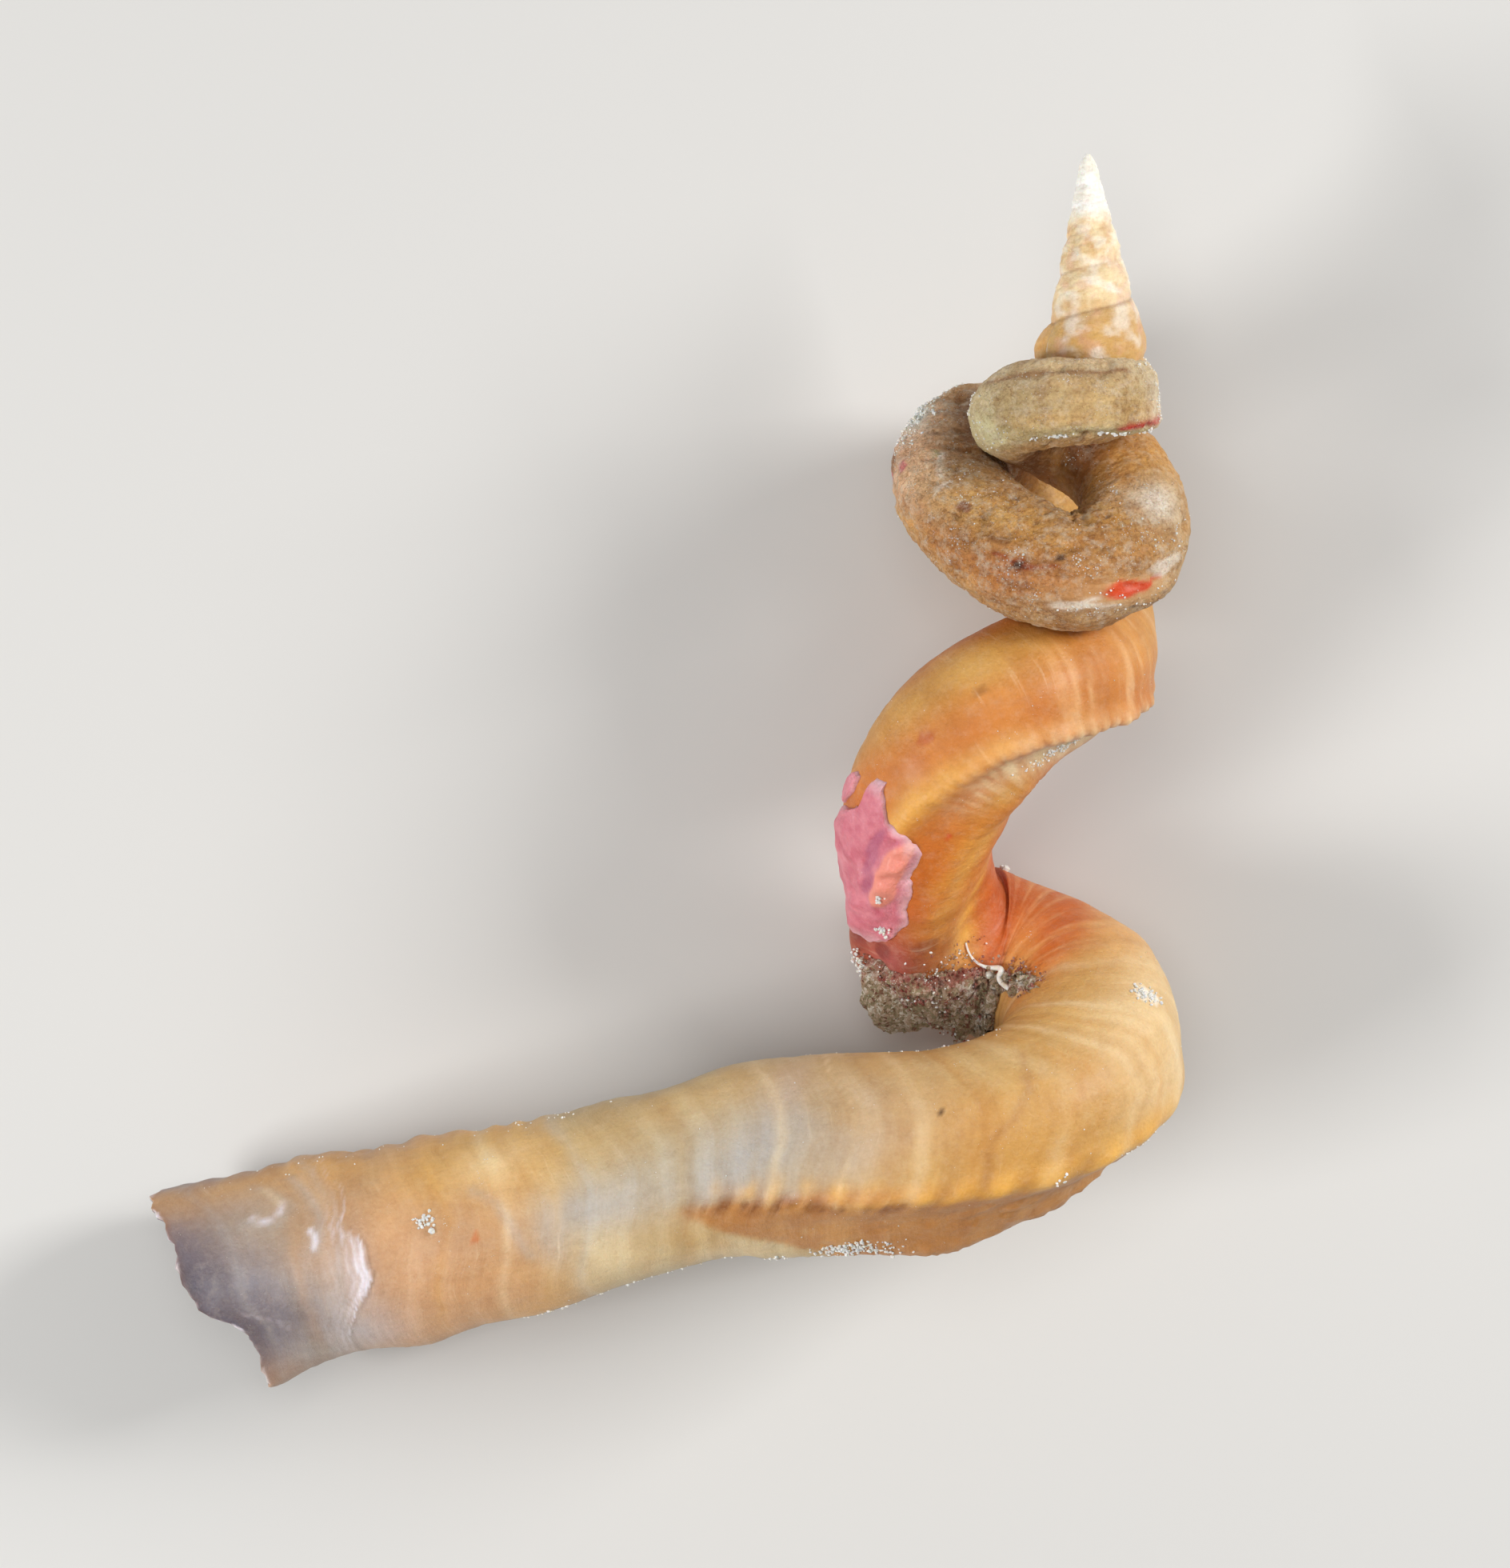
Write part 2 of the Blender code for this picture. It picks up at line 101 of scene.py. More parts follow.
# The tube's middle line, from the spire to the lip, in millimetres and degrees: x, y, z, radius,
# the way its outer face looks, and the heights of the shoulder keel and the base keel
route = [
    (20.6, 21.6, 6.4, 1.20, 90, 0.03, 0.02),
    (19.4, 20.8, 4.9, 1.30, 180, 0.03, 0.02),
    (20.6, 20.0, 3.4, 1.50, 270, 0.03, 0.02),
    (22.6, 18.7, 5.5, 1.86, 365, 0.05, 0.04),
    (20.1, 18.2, 8.5, 2.08, 450, 0.05, 0.03),
    (17.1, 17.7, 6.1, 2.09, 540, 0.04, 0.02),
    (19.2, 16.8, 2.1, 2.15, 630, 0.03, 0.02),
    (22.3, 14.9, 2.6, 2.36, 708, 0.03, 0.02),
    (23.2, 12.0, 5.4, 2.80, 735, 0.03, 0.02),
    (20.5, 9.8, 7.4, 2.88, 800, 0.02, 0.01),
    (17.0, 11.0, 6.0, 2.90, 850, 0.02, 0.01),
    (14.3, 14.4, 1.0, 2.92, 905, 0.02, 0.01),
    (16.0, 16.5, -3.3, 2.96, 960, 0.02, 0.01),
    (17.6, 14.6, -5.6, 3.08, 985, 0.02, 0.01),
    (19.8, 10.6, -5.2, 3.16, 1025, 0.03, 0.02),
    (21.4, 6.9, -1.6, 3.17, 1070, 0.06, 0.00),
    (20.4, 4.9, 2.7, 3.42, 1125, 0.09, 0.00),
    (16.2, 3.1, 5.0, 3.76, 1175, 0.08, 0.03),
    (13.0, -0.8, 3.3, 3.85, 1220, 0.06, 0.02),
    (12.7, -5.0, -0.5, 3.88, 1265, 0.06, 0.04),
    (14.3, -8.8, -4.08, 4.15, 1310, 0.09, 0.05),
    (18.2, -10.0, -4.64, 4.30, 1350, 0.03, 0.02),
    (21.3, -12.8, -0.2, 4.48, 1440, 0.04, 0.00),
    (19.3, -16.2, 3.8, 4.44, 1495, 0.08, -0.02),
    (13.9, -18.1, 4.8, 4.67, 1525, 0.04, 0.13),
    (6.7, -18.8, 3.5, 4.76, 1530, 0.05, 0.06),
    (2.8, -19.3, 2.6, 4.65, 1530, 0.02, 0.02),
    (-2.8, -21.0, 1.4, 4.51, 1530, 0.00, 0.01),
    (-9.2, -22.7, -0.3, 4.72, 1530, 0.00, 0.00),
    (-17.3, -24.4, -2.75, 4.86, 1530, 0.00, 0.00),
    (-26.0, -26.2, -5.62, 4.97, 1530, 0.00, 0.00),
]
routeShift = (-0.08, 0.19, 8.86)     # from the route's own frame to the shell's
# the spline's points and the power of its knots, then the line's step and how far bends soften
splinePoints, knotPower, fineStep, bendSpread = 6000, 0.75, 0.06, 0.9


def naturalSpline(points, count):
    p = np.array(points, float)
    reach = np.linalg.norm(np.diff(p[:, :3], axis=0), axis=1) ** knotPower
    knots = np.concatenate([[0], np.cumsum(reach)])
    n = len(p)
    h = np.diff(knots)
    matrix, right = np.eye(n), np.zeros_like(p)
    for i in range(1, n - 1):
        matrix[i, i - 1:i + 2] = h[i - 1], 2 * (h[i - 1] + h[i]), h[i]
        right[i] = 6 * ((p[i + 1] - p[i]) / h[i] - (p[i] - p[i - 1]) / h[i - 1])
    bend = np.linalg.solve(matrix, right)
    u = np.linspace(0, knots[-1], count)
    k = np.clip(np.searchsorted(knots, u, side="right") - 1, 0, n - 2)
    before, after, span = (knots[k + 1] - u)[:, None], (u - knots[k])[:, None], h[k][:, None]
    curve = (bend[k] * before ** 3 + bend[k + 1] * after ** 3) / (6 * span)
    curve += (p[k] / span - bend[k] * span / 6) * before
    return curve + (p[k + 1] / span - bend[k + 1] * span / 6) * after


def evenSteps(curve):
    reach = np.linalg.norm(np.diff(curve[:, :3], axis=0), axis=1)
    along = np.concatenate([[0], np.cumsum(reach)])
    even = np.linspace(0, along[-1], int(round(along[-1] / fineStep)) + 1)
    return np.stack([np.interp(even, along, column) for column in curve.T], 1), even


def softened(curve):
    n = int(4 * bendSpread / fineStep)
    weight = np.exp(-0.5 * (np.arange(-n, n + 1) * fineStep / bendSpread) ** 2)
    weight /= weight.sum()
    longer = np.vstack([2 * curve[:1] - curve[n:0:-1], curve, 2 * curve[-1:] - curve[-2:-n - 2:-1]])
    return np.stack([np.convolve(column, weight, "valid") for column in longer.T], 1)


def makeLine():
    curve, along = evenSteps(softened(evenSteps(naturalSpline(route, splinePoints))[0]))
    middle = curve[:, :3]
    growth = np.gradient(middle, axis=0)
    growth /= np.linalg.norm(growth, axis=1)[:, None]
    look = np.radians(curve[:, 4])
    outward = np.stack([np.cos(look), 0 * look, np.sin(look)], 1)
    outward -= (outward * growth).sum(1)[:, None] * growth
    outward /= np.linalg.norm(outward, axis=1)[:, None]
    baseward = np.cross(outward, growth)
    return along, np.hstack([middle + routeShift, outward, baseward, curve[:, [3, 5, 6]]])


# the line's columns: middle (0 to 2), outward (3 to 5), baseward (6 to 8), and these
radiusColumn, shoulderColumn, baseColumn = 9, 10, 11
lineAlong, lineColumns = makeLine()


def onLine(along, column):
    return np.interp(along, lineAlong, lineColumns[:, column])


def wrapped(angle):
    return (angle + 180) % 360 - 180


def bell(angle, place, width):
    return np.exp(-0.5 * (wrapped(angle - place) / width) ** 2)


def spot(along, angle, place, side, reach, width):
    return np.exp(-0.5 * ((along - place) / reach) ** 2) * bell(angle, side, width)


def window(along, start, end, fade):
    return np.clip((along - start) / fade, 0, 1) * np.clip((end - along) / fade, 0, 1)


def strip(along, angle, place, width, start, end, fade):
    return bell(angle, place, width) * window(along, start, end, fade)


def field(points, scale, seed=0, octaves=1):
    # noise at each point, from about -1 to 1; each seed takes another part of it
    total, weight = np.zeros(len(points)), 1.0
    for octave in range(octaves):
        spread = np.asarray(points) * scale * 2 ** octave + seed * 17.3
        total += weight * np.array([noise.noise(Vector(p)) for p in spread])
        weight *= 0.5
    return total


# The shell's form. Angles round the tube run from its outer face toward the base of the shell.
formSettings = {
    "shoulderKeel": (38, 9), "baseKeel": (97, 9), "hollow": (67, 13), "hollowDepth": 0.5,
    "lumps": [      # place along, angle, reach along, width round, height
        (7.4, -40, 1.5, 26, 0.25), (8, 40, 1.2, 14, 0.5), (13, -74, 1.5, 16, 0.18),
        (23.3, -40, 1.2, 16, 0.3), (29.3, 50, 1.2, 15, 0.25), (33.4, 6, 0.7, 9, -0.15),
        (37.5, -34, 0.8, 10, -0.12), (39.5, 36, 2, 18, -0.22), (44, -40, 1.8, 20, 0.28),
        (47.5, -82, 1.2, 16, 0.35), (59.5, -22, 1.2, 15, 0.3), (68.5, -93, 1.2, 14, 0.25),
        (71, 94, 1.5, 12, 0.3), (74, 112, 1.6, 14, 0.5), (77, 140, 1.6, 16, 0.45), (89, -100, 1.6, 18, 0.5),
        (96, -50, 1.2, 14, 0.18), (100.4, 28, 1.5, 12, 0.4), (103.6, 62, 1.3, 10, -0.2),
        (106.2, 88, 0.9, 10, 0.25), (111, 95, 1.5, 10, 0.32), (110, -93, 2.2, 16, -0.2),
        (119, 91, 1.6, 12, 0.28), (123.2, -91, 1.4, 18, -0.42), (132, 87, 1.5, 14, 0.25),
        (136, -92, 1.3, 16, 0.2), (138.4, 88, 1.5, 16, 0.42), (139, -10, 0.6, 40, 0.16),
        (142.7, -92, 1.3, 16, 0.3), (141.5, -30, 0.8, 14, -0.12), (134.6, -14, 1.6, 18, -0.15),
        (84, 156, 1.6, 18, -0.35), (84.8, 150, 2.2, 24, -0.75), (80.4, 22, 2.8, 30, -0.3),
        (83.6, 40, 1.8, 30, -0.25), (88.3, 98, 1.5, 36, -0.5),
    ],
    "lip": [(-180, 147.8), (-150, 148.3), (-120, 149.6), (-90, 150.8), (-62, 150.6), (-46, 149.6),
            (-21, 148.9), (2, 148.5), (18, 147.9), (30, 146.3), (46, 146.1), (68, 146.4),
            (87, 146.9), (110, 147.0), (150, 147.3), (180, 147.8)],
    "lipStart": 146.1, "lipBlend": 7, "lipJags": 0.36,
    "lipFlare": (1.0, 88, 20, 141, 5.5),     # height, angle, width round, start and reach
    "wall": 0.5, "lipWall": 0.22, "wallGrowth": 0.05,
    # how rough the shell is, how high its growth lines are, and how far they bulge back at the
    # middle of the outer face, at places along the shell
    "rough": [(0, 0.03), (4, 0.06), (8, 0.11), (14, 0.11), (20, 0.06), (26, 0.08), (30, 0.15),
              (46, 0.14), (52, 0.05), (60, 0.02), (76, 0.025), (92, 0.02), (128, 0.02),
              (150, 0.02)],
    "growth": [(0, 0.01), (50, 0.015), (60, 0.035), (80, 0.035), (100, 0.05), (150, 0.045)],
    "bulge": [(0, 0), (60, 0.3), (90, 0.6), (104, 2.4), (134, 2.2), (150, 1.2)],
    "crumple": 0.8, "pitDepth": 4, "pitLevel": 0.28,
    # the shoulder keel's angle, how far it stands up, and the flat facet on its base side
    "keelLine": [(50, 38), (100, 38), (104, 37), (110, 32), (115.4, 27), (122.3, 18), (126, 14)],
    "keelRise": [(52, 0), (60, 0.16), (66, 0.34), (74, 0.22), (80, 0.05), (98, 0.0), (103, 0.12),
                 (108, 0.30), (118, 0.30), (122.5, 0.12), (123.5, 0)],
    "secondKeel": [(68, 0), (73, 0.08), (86, 0.08), (90, 0)],
    "facet": [(58, 0), (66, 0.3), (74, 0.16), (80, 0), (102, 0), (108, 0.22), (117, 0.24),
              (122.5, 0)],
    "facetEnd": [(115.5, 112), (117, 84), (119, 68), (121, 52), (123.5, 26)],
    "beadStep": 1.7, "toothStep": 0.62, "teeth": 0.13,
    "strips": [     # pattern, angle, width round, start, end, fade and height
        ("beads", -88, 14, 128, 150, 2, 0.14), ("bumps", 80, 18, 99, 121, 2, 0.2),
        ("folds", 72, 24, 98, 111, 3, 0.3), ("beads", 12, 20, 98, 107, 2, 0.1),
    ],
    # the healed break: its heights, how it fades, and its angle and width round the tube
    "scar": {"height": 0.26, "steep": 0.10, "fade": 0.8, "frills": 0.36, "frillHeight": 0.08,
             "frillFade": 0.5, "middle": (9, 19), "least": 0.18},
    "scarLine": [(-180, 140.6), (-74, 140.4), (-41, 139.7), (-20, 139.7), (-4, 139.1), (12, 138.8),
                 (22, 139.3), (33, 140.4), (52, 141.2), (71, 141.6), (180, 141.0)],
}


def curveOf(name, along):
    # one of the form's curves, at places along the shell or round it
    return np.interp(along, *zip(*formSettings[name]))


def lipEnd(angle):
    return curveOf("lip", wrapped(angle))


def towardLip(along, angle):
    start, blend = formSettings["lipStart"], formSettings["lipBlend"]
    share = np.clip((along - start + blend) / blend, 0, 1)
    turn = np.radians(angle)
    jags = field(np.stack([9 * np.cos(turn), 9 * np.sin(turn), 0 * turn], 1), 0.8, 4, 4)
    return along + share * (lipEnd(angle) - start) + share ** 8 * formSettings["lipJags"] * jags


def bulged(along, angle):
    # growth lines are arcs, so the same line is farther back at the middle of the outer face
    turn = np.radians(angle)
    waves = field(np.stack([along * 0.25, np.cos(turn) * 2.4, np.sin(turn) * 2.4], 1), 1.0, 61, 2)
    return along + curveOf("bulge", along) * (bell(angle, -14, 36) + 0.13 * waves)


def straight(along, angle):
    # the place on the tube as if it were straight, in millimetres, with its growth lines level
    turn, radius = np.radians(angle), onLine(along, radiusColumn)
    return np.stack([bulged(along, angle), radius * np.cos(turn), radius * np.sin(turn)], 1)


def scarShape(along, angle, flat):
    # the old broken lip, healed over: a steep edge with frills behind it
    scar = formSettings["scar"]
    line = curveOf("scarLine", wrapped(angle)) + 0.25 * field(flat * (0, 1, 1), 0.8, 62, 3)
    past = along - line
    ridge = np.where(past < 0, np.exp(-(past / scar["steep"]) ** 2), np.exp(-past / scar["fade"]))
    frills = 0.5 + 0.5 * np.cos(2 * math.pi * past / scar["frills"] + 2.2 * field(flat, 0.7, 63))
    frills = frills ** 2 * np.exp(-np.clip(past, 0, None) / scar["frillFade"]) * (past > 0)
    side = scar["least"] + (1 - scar["least"]) * bell(angle, *scar["middle"])
    return ridge * side, frills * side


def ripples(place, step, shift):
    return 0.5 + 0.5 * np.sin(2 * math.pi * place / step + shift)


def keelShape(along, angle, flat):
    # the shoulder keel's own angle, its beads, and the teeth along its edge
    keel = curveOf("keelLine", along) + 2.5 * field(flat, 0.5, 9)
    beads = ripples(flat[:, 0], formSettings["beadStep"], 2.6 * field(flat, 0.35, 6))
    return keel, beads, ripples(along, formSettings["toothStep"], 3 * field(flat, 0.5, 10))


def relief(along, angle):
    # growth lines, pits, keels, folds and the bumps of the crusted coils
    form, flat = formSettings, straight(along, angle)
    rough = curveOf("rough", along)
    height = curveOf("growth", along) * field(flat * (1, 0.1, 0.1), 0.9, 1, 3)
    height += rough * (field(flat, 0.8, 3, 4) + form["crumple"] * np.abs(field(flat, 2, 5, 3)))
    height -= form["pitDepth"] * rough * np.clip(field(flat, 1.5, 7, 2) - form["pitLevel"], 0, 1)
    keel, beads, teeth = keelShape(along, angle, flat)
    height += curveOf("keelRise", along) * bell(angle, keel, 5.5) * (0.45 + 0.55 * beads)
    height += curveOf("secondKeel", along) * bell(angle, 97, 6) * (0.5 + 0.5 * teeth)
    height -= curveOf("facet", along) * bell(angle, keel + 22, 11)
    height += form["teeth"] * teeth * strip(along, angle, keel + 3, 6, 61, 76, 2)
    patterns = {"beads": beads, "bumps": np.abs(field(flat, 1.6, 8, 3)),
                "folds": np.clip(field(flat * (0.5, 1, 1), 1.3, 13, 2), -0.2, 1)}
    for pattern, place, width, start, end, fade, most in form["strips"]:
        height += most * patterns[pattern] * strip(along, angle, place, width, start, end, fade)
    ridge, frills = scarShape(along, angle, flat)
    return height + form["scar"]["height"] * ridge + form["scar"]["frillHeight"] * frills


def shellPoint(along, angle, lift=0.0, inner=0.0):
    # a point on the shell, lifted off it; inner runs from 0 outside to 1 in the bore
    form = formSettings
    along, angle = np.atleast_1d(along).astype(float), np.atleast_1d(angle).astype(float)
    radius, shoulder, base = (onLine(along, i) for i in (radiusColumn, shoulderColumn, baseColumn))
    keels = shoulder * bell(angle, *form["shoulderKeel"]) + base * bell(angle, *form["baseKeel"])
    keels -= form["hollowDepth"] * shoulder * bell(angle, *form["hollow"])
    outside = radius * keels + relief(along, angle)
    height, place, width, start, reach = form["lipFlare"]
    flare = height * np.clip((along - start) / reach, 0, 1) ** 2 * bell(angle, place, width)
    depth = np.clip(form["lipStart"] - along, 0, None)
    wall = np.minimum(form["wall"], form["lipWall"] + form["wallGrowth"] * depth)
    radius = radius + flare + (1 - inner) * outside - inner * wall + lift
    for place, side, reach, width, height in form["lumps"]:
        radius = radius + height * spot(along, angle, place, side, reach, width)
    turn = np.radians(angle)
    row = [onLine(along, i) for i in range(9)]
    middle, outward, baseward = (np.stack(row[i:i + 3], 1) for i in (0, 3, 6))
    return middle + radius[:, None] * (np.cos(turn)[:, None] * outward
                                       + np.sin(turn)[:, None] * baseward)


# Sweeping a circle into a tube
def sweep(name, stations, sides, levels):
    # a filled circle is extruded ring by ring; each vertex keeps its station and its side
    bpy.ops.object.select_all(action="DESELECT")
    bpy.ops.mesh.primitive_circle_add(vertices=len(sides), radius=mm, fill_type="NGON")
    piece = bpy.context.object
    piece.name = piece.data.name = name
    bpy.ops.object.mode_set(mode="EDIT")
    shape = bmesh.from_edit_mesh(piece.data)
    sideOf = shape.verts.layers.int.new("side")
    shape.verts.layers.int.new("ring")
    for vert in shape.verts:
        vert[sideOf] = vert.index
    bpy.ops.mesh.select_all(action="SELECT")
    for ring in range(1, len(stations)):
        bpy.ops.mesh.extrude_region_move(TRANSFORM_OT_translate={"value": (0, 0, mm)})
        shape = bmesh.from_edit_mesh(piece.data)
        ringOf = shape.verts.layers.int["ring"]
        for vert in shape.verts:
            if vert.select:
                vert[ringOf] = ring
    bpy.ops.object.mode_set(mode="OBJECT")
    mesh = piece.data
    count = len(mesh.vertices)
    ring, side = np.zeros(count, int), np.zeros(count, int)
    mesh.attributes["ring"].data.foreach_get("value", ring)
    mesh.attributes["side"].data.foreach_get("value", side)
    turn = np.radians(np.array(sides, float))[side]
    place = np.array(stations, float)[ring]
    for label, values in (("along", place[:, 0]), ("inner", place[:, 1]),
                          ("cosine", np.cos(turn)), ("sine", np.sin(turn))):
        mesh.attributes.new(label, "FLOAT", "POINT").data.foreach_set("value", values)
    for label in ("ring", "side"):
        mesh.attributes.remove(mesh.attributes[label])
    fine = piece.modifiers.new("fine", "SUBSURF")
    fine.levels = fine.render_levels = levels
    bpy.ops.object.modifier_apply(modifier="fine")
    read = {}
    for label in ("along", "inner", "cosine", "sine"):
        read[label] = np.zeros(len(mesh.vertices))
        piece.data.attributes[label].data.foreach_get("value", read[label])
        piece.data.attributes.remove(piece.data.attributes[label])
    return piece, read["along"], read["inner"], np.degrees(np.arctan2(read["sine"], read["cosine"]))


def faceOutward(piece, weld=0):
    bpy.context.view_layer.objects.active = piece
    piece.select_set(True)
    bpy.ops.object.mode_set(mode="EDIT")
    bpy.ops.mesh.select_all(action="SELECT")
    if weld:
        bpy.ops.mesh.remove_doubles(threshold=weld * mm)
    bpy.ops.mesh.normals_make_consistent(inside=False)
    bpy.ops.object.mode_set(mode="OBJECT")
    bpy.ops.object.shade_smooth()


def placeVertices(piece, points):
    piece.data.vertices.foreach_set("co", (np.asarray(points) * mm).ravel())
    piece.data.update()
    faceOutward(piece)


def setAttribute(piece, label, values):
    values = np.asarray(values, float)
    if values.ndim == 1:
        piece.data.attributes.new(label, "FLOAT", "POINT").data.foreach_set("value", values)
    elif label == "tint":
        colour = np.hstack([values, np.ones((len(values), 1))])
        layer = piece.data.attributes.new(label, "FLOAT_COLOR", "POINT")
        layer.data.foreach_set("color", colour.ravel())
    else:
        layer = piece.data.attributes.new(label, "FLOAT_VECTOR", "POINT")
        layer.data.foreach_set("vector", values.ravel())


# The shell's colours: a ground that changes along the tube, and soft patches over it
paints = {
    "chalk": (250, 249, 244), "cream": (240, 218, 176), "apricot": (222, 172, 104),
    "peach": (232, 184, 132), "tan": (190, 144, 90), "brown": (166, 114, 66), "ochre": (204, 148, 70),
    "straw": (206, 162, 94), "honey": (230, 170, 84), "gold": (236, 180, 84), "amber": (196, 106, 28),
    # the bark brown is painted shade for the deep hollow in the ring
    "orange": (206, 108, 44), "rust": (176, 82, 38), "brick": (160, 70, 30), "cavityShade": (100, 48, 20),
    "umber": (132, 78, 34), "peat": (74, 42, 24), "sand": (196, 174, 132), "pewter": (178, 168, 148),
    "clay": (182, 142, 106), "biscuit": (206, 160, 118), "lilac": (212, 204, 216), "frost": (236, 234, 250),
    # the slate grey is painted shade of the dark bore seen through the thin lip
    "violet": (126, 116, 126), "boreShade": (60, 60, 78), "mist": (172, 168, 166), "olive": (146, 128, 62),
    "lichen": (204, 206, 164), "rose": (226, 132, 140), "blush": (224, 170, 150),
    "scarlet": (190, 36, 26), "vermilion": (208, 72, 28), "maroon": (112, 34, 34),
}
ground = [(0, "apricot"), (7, "ochre"), (10, "tan"), (16, "tan"), (22, "ochre"), (28, "tan"),
          (47, "tan"), (52, "ochre"), (60, "ochre"), (66, "amber"), (76, "amber"), (81, "orange"),
          (86, "rust"), (90, "orange"), (95, "apricot"), (99, "straw"), (106, "straw"),
          (113, "straw"), (118, "sand"), (128, "sand"), (132, "apricot"), (136, "biscuit"),
          (141, "clay"), (146, "violet"), (153, "violet")]
